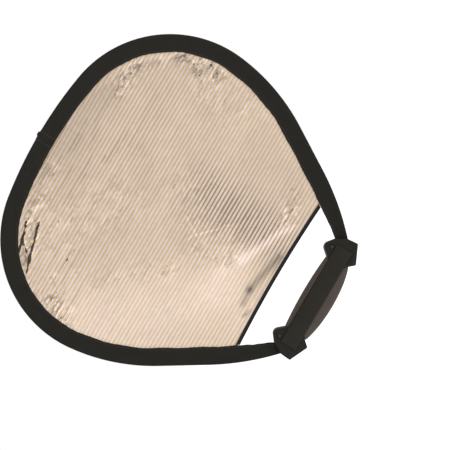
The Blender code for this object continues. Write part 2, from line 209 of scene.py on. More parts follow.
class Tree:
    """A node tree being built, for a material or for Geometry Nodes."""

    def __init__(self, nodes: bpy.types.NodeTree) -> None:
        """Starts on a tree.

        Args:
            nodes: the tree to add to.
        """
        self.nodes = nodes

    def node(
        self, kind: str, settings: dict | None = None, inputs: dict | None = None, out: str | int = 0,
    ) -> Value:
        """Adds any node.

        Args:
            kind: the node's type.
            settings: its properties by name.
            inputs: values or sockets by input name or number.
            out: the name or number of the output that is wanted.

        Returns:
            That output.
        """
        made = self.nodes.nodes.new(kind)
        for name, value in (settings or {}).items():
            setattr(made, name, value)
        for name, value in (inputs or {}).items():
            socket = made.inputs[name]
            if isinstance(value, Value):
                self.nodes.links.new(value.socket, socket)
            else:
                socket.default_value = value
        return Value(self, made.outputs[out])

    def maths(self, operation: str, *values: Value | float, clamp: bool = False) -> Value:
        """Adds a Math node.

        Args:
            operation: the node's operation.
            values: its inputs in order.
            clamp: whether the result is kept from 0 to 1.

        Returns:
            The node's result.
        """
        settings = {"operation": operation, "use_clamp": clamp}
        return self.node("ShaderNodeMath", settings, dict(enumerate(values)))

    def vector(self, x: Value | float, y: Value | float, z: Value | float) -> Value:
        """Three numbers joined into a vector."""
        return self.node("ShaderNodeCombineXYZ", None, {"X": x, "Y": y, "Z": z})

    def parts(self, vector: Value) -> tuple[Value, Value, Value]:
        """A vector's three numbers."""
        x, y, z = self.node("ShaderNodeSeparateXYZ", None, {0: vector}).socket.node.outputs
        return Value(self, x), Value(self, y), Value(self, z)

    def noise(self, where: Value, scale: float, detail: float = 3.0, roughness: float = 0.55) -> Value:
        """A soft random pattern.

        Args:
            where: the place it is read at.
            scale: how many of its cells fit in one unit of where.
            detail: how many finer octaves it has.
            roughness: how strong those are.

        Returns:
            A value near 0.5.
        """
        inputs = {"Vector": where, "Scale": scale, "Detail": detail, "Roughness": roughness}
        return self.node("ShaderNodeTexNoise", None, inputs)

    def attribute(self, name: str) -> Value:
        """A number stored on the mesh."""
        return self.node("ShaderNodeAttribute", {"attribute_name": name}, None, "Fac")

    def blend(
        self, share: Value | float, first: Value | Sequence[float], second: Value | Sequence[float],
    ) -> Value:
        """A mix of two colours.

        Args:
            share: how much of the second there is.
            first: one colour.
            second: the other.

        Returns:
            The mixed colour.
        """
        return self.node("ShaderNodeMix", {"data_type": "RGBA"}, {0: share, 6: first, 7: second}, 2)

    def shaded(self, colour: Value | Sequence[float], factor: Value) -> Value:
        """A colour made lighter or darker by a factor.

        Args:
            colour: a value, or a fixed colour.
            factor: 1 leaves it as it is.

        Returns:
            The shaded colour.
        """
        start = colour if isinstance(colour, Value) else colour[:3]
        grey = self.vector(factor, factor, factor)
        return self.node("ShaderNodeVectorMath", {"operation": "MULTIPLY"}, {0: start, 1: grey})

    def relief(self, height: Value, distance: float, strength: float = 1.0) -> Value:
        """A bumped normal.

        Args:
            height: the height, from 0 to 1.
            distance: how far 1 stands out, in metres.
            strength: how much of it shows.

        Returns:
            The normal.
        """
        inputs = {"Height": height, "Distance": distance, "Strength": strength}
        return self.node("ShaderNodeBump", None, inputs, "Normal")


def srgb(red: int, green: int, blue: int) -> tuple[float, float, float, float]:
    """A display colour as the linear colour that shaders use.

    Args:
        red: from 0 to 255.
        green: from 0 to 255.
        blue: from 0 to 255.

    Returns:
        The linear colour, opaque.
    """
    linear = [(c / 255 + 0.055) / 1.055 for c in (red, green, blue)]
    return (*[v ** 2.4 if c > 10 else c / 255 / 12.92 for v, c in zip(linear, (red, green, blue))], 1.0)


# ---------------------------------------------------------------- finishes


@dataclass(frozen=True)
class Finish:
    """A material: the part that all finishes share."""

    name: str
    slot: str

    def paint(self, tree: Tree) -> dict[str, Value | float | Sequence[float]]:
        """The surface's inputs. Each finish gives its own."""
        raise NotImplementedError

    def material(self) -> bpy.types.Material:
        """The material, made once and then shared.

        Returns:
            The material.
        """
        found = bpy.data.materials.get(self.name)
        if found:
            return found
        made = bpy.data.materials.new(self.name)
        made.use_nodes = True
        shader = made.node_tree.nodes["Principled BSDF"]
        for name, value in self.paint(Tree(made.node_tree)).items():
            if isinstance(value, Value):
                made.node_tree.links.new(value.socket, shader.inputs[name])
            else:
                shader.inputs[name].default_value = value
        return made


@dataclass(frozen=True)
class StripedFoil(Finish):
    """Woven cloth with metallised stripes across it, read from the sheet's UV map, which is in metres."""

    pitch: float = 5.04
    light: tuple = srgb(184, 168, 164)
    dark: tuple = srgb(172, 152, 117)
    deep: tuple = srgb(92, 74, 36)
    # The colour of painted shade in the creases.
    fold: tuple = srgb(44, 34, 26)
    line_share: float = 0.5
    softness: float = 0.14
    metal: float = 0.30
    # How far painted highlight and random patches of worn foil wash out the stripes.
    wash: float = 0.45
    yarns: tuple[float, float] = (0.62, 0.84)

    def painted_crease_shading(self, tree: Tree, where: Value, cells: float, sharp: float) -> Value:
        """Painted light and shade of wandering creases: a painted highlight on one side and painted shade on
        the other.

        Args:
            tree: the material's tree.
            where: the place on the cloth, in metres.
            cells: how many fit in a metre.
            sharp: how wide a crease is, as a share of the pattern's range.

        Returns:
            The shade, from about -0.4 to 0.4.
        """
        side = (tree.noise(where, cells, 4.0, 0.6) - 0.5) / sharp
        return side * tree.maths("EXPONENT", -(side * side))

    def paint(self, tree: Tree) -> dict[str, Value | float | Sequence[float]]:
        """Stripes that wander slightly, fine runs along them, crinkles and creases with painted shade and
        painted highlights, painted light and shade from the marks, and patches of worn foil.

        Args:
            tree: the material's tree.

        Returns:
            The shader's inputs by name.
        """
        cloth = tree.node("ShaderNodeUVMap", {"uv_map": "cloth"})
        across, up, _ = tree.parts(cloth)
        # These attributes carry painted light and shade from the panel's marks, and where the cloth is crumpled
        # and creased.
        tone, crumple, crease = tree.attribute("tone"), tree.attribute("crumple"), tree.attribute("crease")
        runs, strong = tree.attribute("runs"), tree.attribute("strong")
        drift = (tree.noise(tree.vector(across * 14, up * 5, 0.0), 1.0, 2.0) - 0.5) * 0.25
        place = up / (self.pitch * MM) + drift
        turn = place.fraction()
        ramp = (turn - 0.5).absolute() * 2
        half = 1 - self.line_share
        stripe = ramp.step(half - self.softness, half + self.softness)
        row = tree.maths("FLOOR", place)
        long_run = tree.noise(tree.vector(across * 10, row * 7.31, 0.0), 1.0, 3.0, 0.6).step(0.52, 0.58)
        line = (1.25 - (turn - (0.5 + half / 2)).absolute() * 13).clamped()
        hair = line * long_run * (runs + 0.30).at_most(1.3)
        weft, warp = (2 * math.pi / (spacing * MM) for spacing in self.yarns)
        yarn = (across * weft).sin() * (up * warp).sin()
        fleck = tree.noise(tree.vector(across * 260, up * 1500, 0.0), 1.0, 2.0)
        patch = tree.noise(tree.vector(across * 9, up * 16, 0.0), 1.0, 4.0)
        crinkle = tree.noise(cloth, 52.0, 5.0, 0.6)
        skewed = tree.vector(across * 0.42 + up * 0.16, up, 0.0)
        # Painted light and shade of crinkles, painted highlight on one side of each and painted shade on the
        # other.
        relief = self.painted_crease_shading(tree, skewed, 120.0, 0.07) * 0.45 + self.painted_crease_shading(tree, skewed, 38.0, 0.03) * 0.8
        # Dark flecks in crumpled areas: painted shade in the crinkles.
        painted_crinkle_shade = (tree.noise(skewed, 250.0, 4.0, 0.7) - 0.5 + crumple * 0.14).step(0.13, 0.22) * crumple
        jagged = tree.noise(tree.vector(across * 0.5, up, 0.0), 230.0, 4.0, 0.7) - 0.5
        # Dark jagged creases: painted shade in the folds, which are also bumped and made rougher.
        shaded_folds = (crease + jagged * 2.2).step(0.46, 0.78) * crease.step(0.08, 0.3)
        # Pale ridges beside the creases: painted highlight, also bumped.
        highlit_ridges = (jagged * 1.5 - crease).step(0.34, 0.70) + crease.step(0.05, 0.5) * (0.45 - shaded_folds)
        # Painted highlight from the lighter marks washes the stripes out, together with random patches of worn
        # foil.
        worn = ((tone - 0.06) * 2.6 + (patch - 0.5) * 0.9).clamped() * self.wash
        dark = tree.blend((strong * ramp.step(0.52, 0.86)).clamped(), self.dark, self.deep)
        striped = tree.blend(stripe * (1 - worn), self.light, dark)
        colour = tree.blend((shaded_folds * 0.95 + hair * 0.7).clamped(), striped, self.fold)
        # Brightness: painted light and shade from the marks and from the crinkles, with random flecks and
        # patches.
        level = (1 + tone) * (1 + (fleck - 0.5) * 0.18 + (patch - 0.5) * 0.10 + (crumple + 0.10) * relief)
        level = level * (1 + highlit_ridges * 0.24) * (1 - painted_crinkle_shade * 0.42)
        height = crinkle * (0.25 + crumple * 0.9) + yarn * 0.03 + stripe * 0.05 - shaded_folds * 0.5 + highlit_ridges * 0.3
        return {
            "Base Color": tree.shaded(colour, level.at_least(0.03)),
            "Metallic": self.metal,
            "Roughness": (0.40 + (patch - 0.5) * 0.2 + shaded_folds * 0.2).clamped(),
            "Normal": tree.relief(height, 0.0016, 0.6),
            "Specular IOR Level": 0.3,
        }


@dataclass(frozen=True)
class WovenTape(Finish):
    """Plain woven polyester tape, read from its UV map, which is in metres along and across the tape."""

    colour: tuple = srgb(29, 28, 25)
    ends: float = 0.00055

    def paint(self, tree: Tree) -> dict[str, Value | float | Sequence[float]]:
        """A plain weave with fuzz and worn, paler edges.

        Args:
            tree: the material's tree.

        Returns:
            The shader's inputs by name.
        """
        along, across, _ = tree.parts(tree.node("ShaderNodeUVMap", {"uv_map": "cloth"}))
        turn = 2 * math.pi / self.ends
        weave = (along * turn).sin() * (across * turn).sin() * 0.5 + 0.5
        fuzz = tree.noise(tree.vector(along * 900, across * 2600, 0.0), 1.0, 3.0)
        patch = tree.noise(tree.vector(along * 30, across * 60, 0.0), 1.0, 3.0)
        edge = tree.attribute("edge")
        level = 0.80 + weave * 0.16 + fuzz * 0.22 + (patch - 0.5) * 0.35 + edge * 0.45
        return {
            "Base Color": tree.shaded(self.colour, level),
            "Roughness": (0.78 + (fuzz - 0.5) * 0.2).clamped(),
            "Specular IOR Level": 0.07,
            "Sheen Weight": 0.05,
            "Sheen Roughness": 0.45,
            "Normal": tree.relief(weave * 0.7 + fuzz * 0.6, 0.00025, 0.7),
        }


@dataclass(frozen=True)
class MouldedPlastic(Finish):
    """Satin moulded plastic with a fine spark-eroded grain, rubbed smoother along its edges."""

    colour: tuple = srgb(28, 26, 21)
    gloss: float = 0.46

    def paint(self, tree: Tree) -> dict[str, Value | float | Sequence[float]]:
        """Grain, flow marks, paler rubbed edges and light scuffs.

        Args:
            tree: the material's tree.

        Returns:
            The shader's inputs by name.
        """
        where = tree.node("ShaderNodeTexCoord", None, None, "Object")
        grain = tree.noise(where, 2600.0, 2.0)
        flow = tree.noise(where, 42.0, 4.0)
        x, y, z = tree.parts(where)
        scuff = tree.noise(tree.vector(x * 90, y * 300, z * 700), 1.0, 4.0, 0.7).step(0.60, 0.74)
        edge = tree.node("ShaderNodeNewGeometry", None, None, "Pointiness").step(0.505, 0.56)
        level = 0.90 + (flow - 0.5) * 0.5 + (grain - 0.5) * 0.3 + scuff * 0.22 + edge * 0.5
        return {
            "Base Color": tree.shaded(self.colour, level),
            "Roughness": (self.gloss + (grain - 0.5) * 0.2 + scuff * 0.12 - edge * 0.08).clamped(),
            "Specular IOR Level": 0.09,
            "Normal": tree.relief(grain * 0.6 + flow * 0.1 - scuff * 0.1, 0.00012, 0.8),
        }


@dataclass(frozen=True)
class GripRubber(Finish):
    """Matt thermoplastic rubber with a dusty bloom."""

    colour: tuple = srgb(68, 60, 54)

    def paint(self, tree: Tree) -> dict[str, Value | float | Sequence[float]]:
        """Pores, a paler bloom on the tops of the ribs and darker handling marks.

        Args:
            tree: the material's tree.

        Returns:
            The shader's inputs by name.
        """
        where = tree.node("ShaderNodeTexCoord", None, None, "Object")
        pores = tree.noise(where, 1900.0, 3.0)
        bloom = tree.noise(where, 55.0, 4.0)
        rib = tree.attribute("rib")
        level = 0.82 + (bloom - 0.5) * 0.30 + (pores - 0.5) * 0.30 + rib * 0.22
        return {
            "Base Color": tree.shaded(self.colour, level),
            "Roughness": (0.78 + (pores - 0.5) * 0.2 - rib * 0.05).clamped(),
            "Specular IOR Level": 0.15,
            "Normal": tree.relief(pores, 0.00012, 0.8),
        }


@dataclass(frozen=True)
class PlatedSteel(Finish):
    """Steel with turning or rolling marks and a slightly cloudy plating."""

    colour: tuple = (0.35, 0.35, 0.36, 1.0)
    gloss: float = 0.36

    def paint(self, tree: Tree) -> dict[str, Value | float | Sequence[float]]:
        """Cloudy plating with fine marks.

        Args:
            tree: the material's tree.

        Returns:
            The shader's inputs by name.
        """
        where = tree.node("ShaderNodeTexCoord", None, None, "Object")
        x, y, z = tree.parts(where)
        marks = tree.noise(tree.vector(x * 400, y * 4200, z * 400), 1.0, 3.0)
        cloud = tree.noise(where, 300.0, 4.0)
        return {
            "Base Color": tree.shaded(self.colour, 0.85 + (cloud - 0.5) * 0.5 + marks * 0.2),
            "Metallic": 1.0,
            "Roughness": (self.gloss + (cloud - 0.5) * 0.3 + (marks - 0.5) * 0.2).clamped(),
            "Normal": tree.relief(marks, 0.00006, 0.6),
        }


@dataclass(frozen=True)
class SewingThread(Finish):
    """Two-ply polyester thread."""

    colour: tuple = srgb(30, 28, 26)

    def paint(self, tree: Tree) -> dict[str, Value | float | Sequence[float]]:
        """A soft thread with a slight shine on its plies.

        Args:
            tree: the material's tree.

        Returns:
            The shader's inputs by name.
        """
        where = tree.node("ShaderNodeTexCoord", None, None, "Object")
        ply = tree.noise(where, 2400.0, 2.0)
        return {
            "Base Color": tree.shaded(self.colour, 0.7 + ply * 0.7),
            "Roughness": (0.5 + (ply - 0.5) * 0.3).clamped(),
            "Normal": tree.relief(ply, 0.0001, 0.6),
        }


@dataclass(frozen=True)
class PaleFloor(Finish):
    """A plain pale studio floor, lit a little from below."""

    glow: float = 0.75

    def paint(self, tree: Tree) -> dict[str, Value | float | Sequence[float]]:
        """Nearly white, with the faintest unevenness.

        Args:
            tree: the material's tree.

        Returns:
            The shader's inputs by name.
        """
        where = tree.node("ShaderNodeTexCoord", None, None, "Object")
        level = 0.93 + (tree.noise(where, 1.3, 2.0) - 0.5) * 0.02
        return {
            "Base Color": tree.vector(level, level, level),
            "Roughness": 0.9,
            "Specular IOR Level": 0.1,
            "Emission Color": (1.0, 1.0, 1.0, 1.0),
            "Emission Strength": self.glow,
        }


WARM_FOIL = StripedFoil("warm_striped_foil", "warm_panel")
# Its fold colour is painted shade in the creases, and its wash sets how far painted highlight and worn patches
# wash the stripes out.
SILVER_FOIL = StripedFoil(
    "silver_striped_foil", "silver_panel", pitch=3.36, light=srgb(214, 206, 204), dark=srgb(82, 75, 73),
    deep=srgb(56, 50, 48), fold=srgb(40, 37, 36), line_share=0.42, softness=0.16, metal=0.25, wash=0.85,
)
TAPE = WovenTape("woven_binding_tape", "binding_tape")
PLASTIC = MouldedPlastic("satin_moulded_plastic", "handle_plastic")
RUBBER = GripRubber("ribbed_grip_rubber", "grip_rubber")
ZINC = PlatedSteel("black_zinc_steel", "fastener_steel", colour=(0.06, 0.06, 0.058, 1.0), gloss=0.42)
BLUED = PlatedSteel("blued_spring_strip", "spring_steel", colour=(0.30, 0.31, 0.33, 1.0), gloss=0.30)
THREAD = SewingThread("polyester_thread", "binding_tape")
FLOOR = PaleFloor("pale_floor", "")


# ---------------------------------------------------------------- mesh making


def mesh_piece(
    name: str, points: np.ndarray, faces: Iterable[Sequence[int]], finish: Finish,
) -> bpy.types.Object:
    """An object from points and faces, smooth, with its normals outwards.

    Args:
        name: the piece's name.
        points: its vertices in metres.
        faces: its faces as vertex numbers.
        finish: its material.

    Returns:
        The object, at the origin.
    """
    mesh = bpy.data.meshes.new(name)
    mesh.from_pydata([tuple(p) for p in points], [], [tuple(f) for f in faces])
    shape = bmesh.new()
    shape.from_mesh(mesh)
    bmesh.ops.recalc_face_normals(shape, faces=shape.faces)
    shape.to_mesh(mesh)
    shape.free()
    mesh.shade_smooth()
    mesh.materials.append(finish.material())
    piece = bpy.data.objects.new(name, mesh)
    bpy.context.scene.collection.objects.link(piece)
    return piece


def ring_faces(rings: int, count: int) -> list[tuple[int, ...]]:
    """The faces of a tube through rings of points, with its ends capped.

    Args:
        rings: how many rings there are.
        count: how many points each has.

    Returns:
        Faces as vertex numbers.
    """
    made = []
    for i in range(rings - 1):
        a, b = i * count, (i + 1) * count
        made += [(a + k, a + (k + 1) % count, b + (k + 1) % count, b + k) for k in range(count)]
    made.append(tuple(range(count - 1, -1, -1)))
    made.append(tuple(range((rings - 1) * count, rings * count)))
    return made


def store(piece: bpy.types.Object, name: str, values: np.ndarray) -> None:
    """Stores one number for each vertex of a piece."""
    made = piece.data.attributes.new(name, "FLOAT", "POINT")
    made.data.foreach_set("value", values.astype(np.float32))


def store_uv(piece: bpy.types.Object, uv: np.ndarray) -> None:
    """Gives a piece the UV map "cloth" from one (u, v) for each vertex.

    Args:
        piece: the piece.
        uv: an array of one row for each vertex, in metres.
    """
    layer = piece.data.uv_layers.new(name="cloth")
    corners = np.zeros(len(piece.data.loops), np.int32)
    piece.data.loops.foreach_get("vertex_index", corners)
    layer.data.foreach_set("uv", uv[corners].astype(np.float32).ravel())


def travelled(section: Sequence[tuple[float, float]]) -> list[float]:
    """The distance from a section's first point to each of its points, along the section."""
    return [0.0, *np.cumsum([math.dist(a, b) for a, b in zip(section, section[1:])])]


@dataclass
class TapeSkin:
    """Rings of points along a piece of tape, with its UV map and how worn each point's edge is."""

    points: list[Point] = field(default_factory=list)
    uv: list[tuple[float, float]] = field(default_factory=list)
    edge: list[float] = field(default_factory=list)
    rings: int = 0

    def ring(
        self, spots: Sequence[Point], along: Sequence[float], across: Sequence[float], worn: Sequence[float],
    ) -> None:
        """Adds one ring.

        Args:
            spots: its points in millimetres.
            along: each point's distance along the tape.
            across: each point's distance across the tape.
            worn: how worn each point is.
        """
        self.points += [(x * MM, y * MM, z * MM) for x, y, z in spots]
        self.uv += [(u * MM, v * MM) for u, v in zip(along, across)]
        self.edge += worn
        self.rings += 1

    def piece(self, name: str) -> bpy.types.Object:
        """The tape as a closed mesh.

        Args:
            name: the piece's name.

        Returns:
            The piece.
        """
        faces = ring_faces(self.rings, len(self.points) // self.rings)
        made = mesh_piece(name, np.array(self.points), faces, TAPE)
        store(made, "edge", np.array(self.edge))
        store_uv(made, np.array(self.uv))
        return made


def join(name: str, pieces: Sequence[bpy.types.Object]) -> bpy.types.Object:
    """Several pieces as one mesh.

    Args:
        name: the name of the result.
        pieces: the pieces, whose objects go.

    Returns:
        The joined piece.
    """
    with bpy.context.temp_override(active_object=pieces[0], selected_editable_objects=list(pieces)):
        bpy.ops.object.join()
    pieces[0].name = pieces[0].data.name = name
    return pieces[0]


def settle(piece: bpy.types.Object) -> bpy.types.Object:
    """Applies a piece's modifiers and its place, so that it is a plain mesh at the origin.

    Args:
        piece: the piece.

    Returns:
        The same piece.
    """
    bpy.context.view_layer.update()
    graph = bpy.context.evaluated_depsgraph_get()
    mesh = bpy.data.meshes.new_from_object(piece.evaluated_get(graph))
    mesh.transform(piece.matrix_world)
    piece.modifiers.clear()
    piece.data = mesh
    piece.matrix_world = Matrix.Identity(4)
    return piece


def finished(
    piece: bpy.types.Object, hold: Hold, nodes: Sequence[str] = (),
) -> bpy.types.Object:
    """Hands a piece to the frame and reports it.

    Args:
        piece: the piece, with its final mesh.
        hold: how it follows the frame.
        nodes: the CAD nodes that it stands for.

    Returns:
        The same piece.
    """
    BAND.attach(piece, hold)
    if nodes:
        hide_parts(*nodes)
    LOG.info("%s: %d faces, %s", piece.name, len(piece.data.polygons), hold.value)
    return piece


# ---------------------------------------------------------------- the hoop's line


@dataclass(frozen=True)
class Station:
    """A place on the hoop's line: the distance from the far side's middle, x, z and the way it heads."""

    s: float
    x: float
    z: float
    heading: float

    def offset(self, out: float) -> tuple[float, float]:
        """The point that lies out millimetres outside the line, as (x, z)."""
        return self.x + out * math.sin(self.heading), self.z + out * math.cos(self.heading)

    def point(self, out: float, y: float) -> Point:
        """The point that lies out millimetres outside the line and y from the middle plane."""
        x, z = self.offset(out)
        return x, y, z


@dataclass(frozen=True)
class HoopLine:
    """The hoop's centre line, tangent arcs and straights from the far side's middle down to the lug's mouth."""

    top: float = 426.6
    arcs: tuple[tuple[float, float], ...] = (
        (586.0, 9.0), (157.0, 87.3), (270.0, 25.4), (0.0, 65.6), (362.0, 15.3),
    )
    half_width: float = 2.5
    half_thick: float = 0.5
    binding_out: float = 1.5
    binding_width: float = 23.9
    binding_at_lug: float = 16.6
    narrowing: float = 62.0
    socket_depth: float = 5.4
    past_mouth: float = 19.2

    @property
    def length(self) -> float:
        """The line's length from the far side's middle to the mouth."""
        return sum(radius * math.radians(amount) if radius else amount for radius, amount in self.arcs)

    def at(self, s: float) -> Station:
        """The station at a signed distance from the far side's middle. Negative is the left-hand half.

        Args:
            s: the distance along the line.

        Returns:
            The station.
        """
        side, left = (1 if s >= 0 else -1), abs(s)
        x, z, heading = 0.0, self.top, 0.0
        for radius, amount in self.arcs:
            length = radius * math.radians(amount) if radius else amount
            run = min(left, length)
            turn = run / radius if radius else 0.0
            chord = 2 * radius * math.sin(turn / 2) if radius else run
            x += chord * math.cos(heading + turn / 2)
            z -= chord * math.sin(heading + turn / 2)
            heading += turn
            left -= run
        x, z = x + left * math.cos(heading), z - left * math.sin(heading)
        return Station(s, side * x, z, side * heading)

    def run(self, reach: float, step: float) -> list[Station]:
        """Even stations from -reach to reach.

        Args:
            reach: how far each way from the far side's middle.
            step: about how far apart they are.

        Returns:
            The stations, from the left-hand end.
        """
        count = 2 * math.ceil(reach / step)
        return [self.at(-reach + 2 * reach * k / count) for k in range(count + 1)]

    def width(self, s: float) -> float:
        """The binding's width at a distance along the line: full, then gathered before the mouth."""
        gathered = min(max((abs(s) - (self.length - self.narrowing)) / self.narrowing, 0.0), 1.0)
        return self.binding_width + (self.binding_at_lug - self.binding_width) * gathered

    def inner_edge(self, s: float) -> float:
        """The binding's inner edge, as an offset from the line."""
        return self.binding_out - self.width(s)


HOOP = HoopLine()


def ripple(s: float, length: float, seed: float) -> float:
    """An uneven wave along the rim, from -1 to 1.

    Args:
        s: the place along it.
        length: its usual wavelength.
        seed: sets one wave apart from another.

    Returns:
        The wave's height.
    """
    drift = 1.7 * math.sin(s / (length * 3.1) + seed) + 1.1 * math.sin(s / (length * 1.9) + 2.3 * seed)
    swell = 0.62 + 0.38 * math.sin(s / (length * 2.6) + 4.1 * seed)
    return math.sin(2 * math.pi * s / length + drift) * swell


# ---------------------------------------------------------------- binding, hoop and stitches


@dataclass
class RimBinding:
    """The tape folded over the hoop: a roomy sleeve at the rim, two flaps sewn down over the panels."""

    step: float = 2.0
    tape: float = 0.75
    flap_inside: float = 1.05
    hoop_room: float = 2.85
    stitch_in: float = 2.3
    stitch_sink: float = 0.22
    pucker: float = 0.24
    pucker_length: float = 8.6
    edge_sway: float = 0.5
    fold_start: float = 0.2
    fold_angles: tuple[float, ...] = (0.45, 0.9, 1.25)

    def tightness(self, s: float) -> float:
        """How much the tape puckers: most at the tight corners and where it is gathered.

        Args:
            s: the place along the hoop's line.

        Returns:
            The share, from 0.35 up.
        """
        corner = math.exp(-(((abs(s) - 215) / 95) ** 2))
        gather = math.exp(-(((abs(s) - HOOP.length) / 45) ** 2))
        return 0.35 + 0.65 * corner + 0.9 * gather

    def half_profile(self, s: float, face: Face) -> list[tuple[float, float]]:
        """The outside of one flap, from its inner edge to the fold.

        Args:
            s: the place along the hoop's line.
            face: which flap.

        Returns:
            Points as (offset, distance from the middle plane).
        """
        seed = 1.3 if face is Face.WARM else 2.9
        inner = HOOP.inner_edge(s)
        flat, full = self.flap_inside + self.tape, self.hoop_room + self.tape
        shares = (0.0, 0.02, 0.07, 0.14, 0.21, 0.30, 0.40, 0.50, 0.60, 0.70, 0.79, 0.87, 0.93, 0.97, 1.0)
        span = self.fold_start - inner
        seam = self.stitch_in / span
        sway = self.edge_sway * (ripple(s, 58.0, seed) + 0.4 * ripple(s, 15.0, seed + 1.1))
        points = []
        for t in shares:
            rise = flat + 0.1 * t + (full - flat - 0.1) * min(max((t - 0.42) / 0.44, 0), 1) ** 1.4
            sink = self.stitch_sink * math.exp(-(((t - seam) / 0.045) ** 2))
            edge_round = 0.32 * max(0.0, 1 - t / 0.02)
            wave = self.pucker * self.tightness(s) * ripple(s, self.pucker_length, seed + 0.4)
            wave *= math.exp(-(((t - 0.36) / 0.26) ** 2))
            hem = 0.16 * self.tightness(s) * ripple(s, self.pucker_length * 0.8, seed) * max(0.0, 1 - t / 0.1)
            height = rise - sink - edge_round + wave + max(hem, -0.1)
            points.append((inner + span * t + sway * (1 - t) ** 2, height))
        return points

    def outside(self, s: float) -> list[tuple[float, float]]:
        """The outside of the section at one place: out over the front flap, round the fold and back.

        Args:
            s: the place along the hoop's line.

        Returns:
            Points as (offset, y).
        """
        front, back = self.half_profile(s, Face.WARM), self.half_profile(s, Face.SILVER)
        reach, half = HOOP.binding_out - self.fold_start, self.hoop_room + self.tape
        fold = [(self.fold_start + reach * math.sin(a), half * math.cos(a) ** 0.6) for a in self.fold_angles]
        warm = [(n, -y) for n, y in front + fold]
        return warm + [(HOOP.binding_out, 0.0)] + fold[::-1] + back[::-1]

    def inside(self, s: float) -> list[tuple[float, float]]:
        """The lining of the section at one place, from the back flap's inner edge to the front one's.

        Args:
            s: the place along the hoop's line.

        Returns:
            Points as (offset, y).
        """
        front, back = ([(n, max(self.flap_inside, y - self.tape)) for n, y in self.half_profile(s, face)]
                       for face in Face)
        tip = HOOP.binding_out - self.tape + 0.1
        reach = tip - self.fold_start
        fold = [(self.fold_start + reach * math.sin(a), self.hoop_room * math.cos(a) ** 0.6)
                for a in self.fold_angles[:2]]
        warm = [(n, -y) for n, y in front + fold]
        return back + fold + [(tip, 0.0)] + warm[::-1]

    def section(self, s: float) -> list[tuple[float, float]]:
        """The whole section at one place, outside and lining, as (offset, y)."""
        return self.outside(s) + self.inside(s)

    def surface(self, s: float, inwards: float, face: Face) -> Point:
        """A point on the outside of a flap, in metres.

        Args:
            s: the place along the hoop's line.
            inwards: how far it lies from the flap's inner edge.
            face: which flap.

        Returns:
            The point.
        """
        profile = self.half_profile(s, face)
        offsets, heights = [p[0] for p in profile], [p[1] for p in profile]
        offset = HOOP.inner_edge(s) + inwards
        x, z = HOOP.at(s).offset(offset)
        return x * MM, face.value * float(np.interp(offset, offsets, heights)) * MM, z * MM

    def build(self) -> bpy.types.Object:
        """The whole binding as one piece.

        Returns:
            The piece.
        """
        skin = TapeSkin()
        for station in HOOP.run(HOOP.length + HOOP.socket_depth, self.step):
            section = self.section(station.s)
            inner = HOOP.inner_edge(station.s)
            worn = [max(math.exp(-abs(out - inner) / 0.5), 0.6 * math.exp(-abs(out - HOOP.binding_out) / 0.35))
                    for out, _ in section]
            spots = [station.point(out, y) for out, y in section]
            skin.ring(spots, [station.s] * len(section), travelled(section), worn)
        nodes = [f"binding_{zone}_{side}" for zone in ("upper", "flex", "lower") for side in ("left", "right")]
        return finished(skin.piece("rim_binding"), Hold.BENDS, nodes)


@dataclass
class SprungHoop:
    """The flat spring-steel strip in the sleeve, from ferrule to ferrule."""

    step: float = 3.0
    rounding: float = 0.22

    def build(self) -> bpy.types.Object:
        """The strip as one piece.

        Returns:
            The piece.
        """
        t, w, r = HOOP.half_thick, HOOP.half_width, self.rounding
        right = [(t - r, -w), (t, -w + r), (t, w - r), (t - r, w)]
        section = [(-t + r, -w), *right, (-t + r, w), (-t, w - r), (-t, -w + r)]
        stations = HOOP.run(HOOP.length + HOOP.past_mouth, self.step)
        points = np.array([station.point(out, y) for station in stations for out, y in section]) * MM
        piece = mesh_piece("sprung_hoop", points, ring_faces(len(stations), len(section)), BLUED)
        nodes = ["hoop_upper", "hoop_flex_left", "hoop_flex_right", "hoop_lower_left", "hoop_lower_right"]
        return finished(piece, Hold.BENDS, nodes)


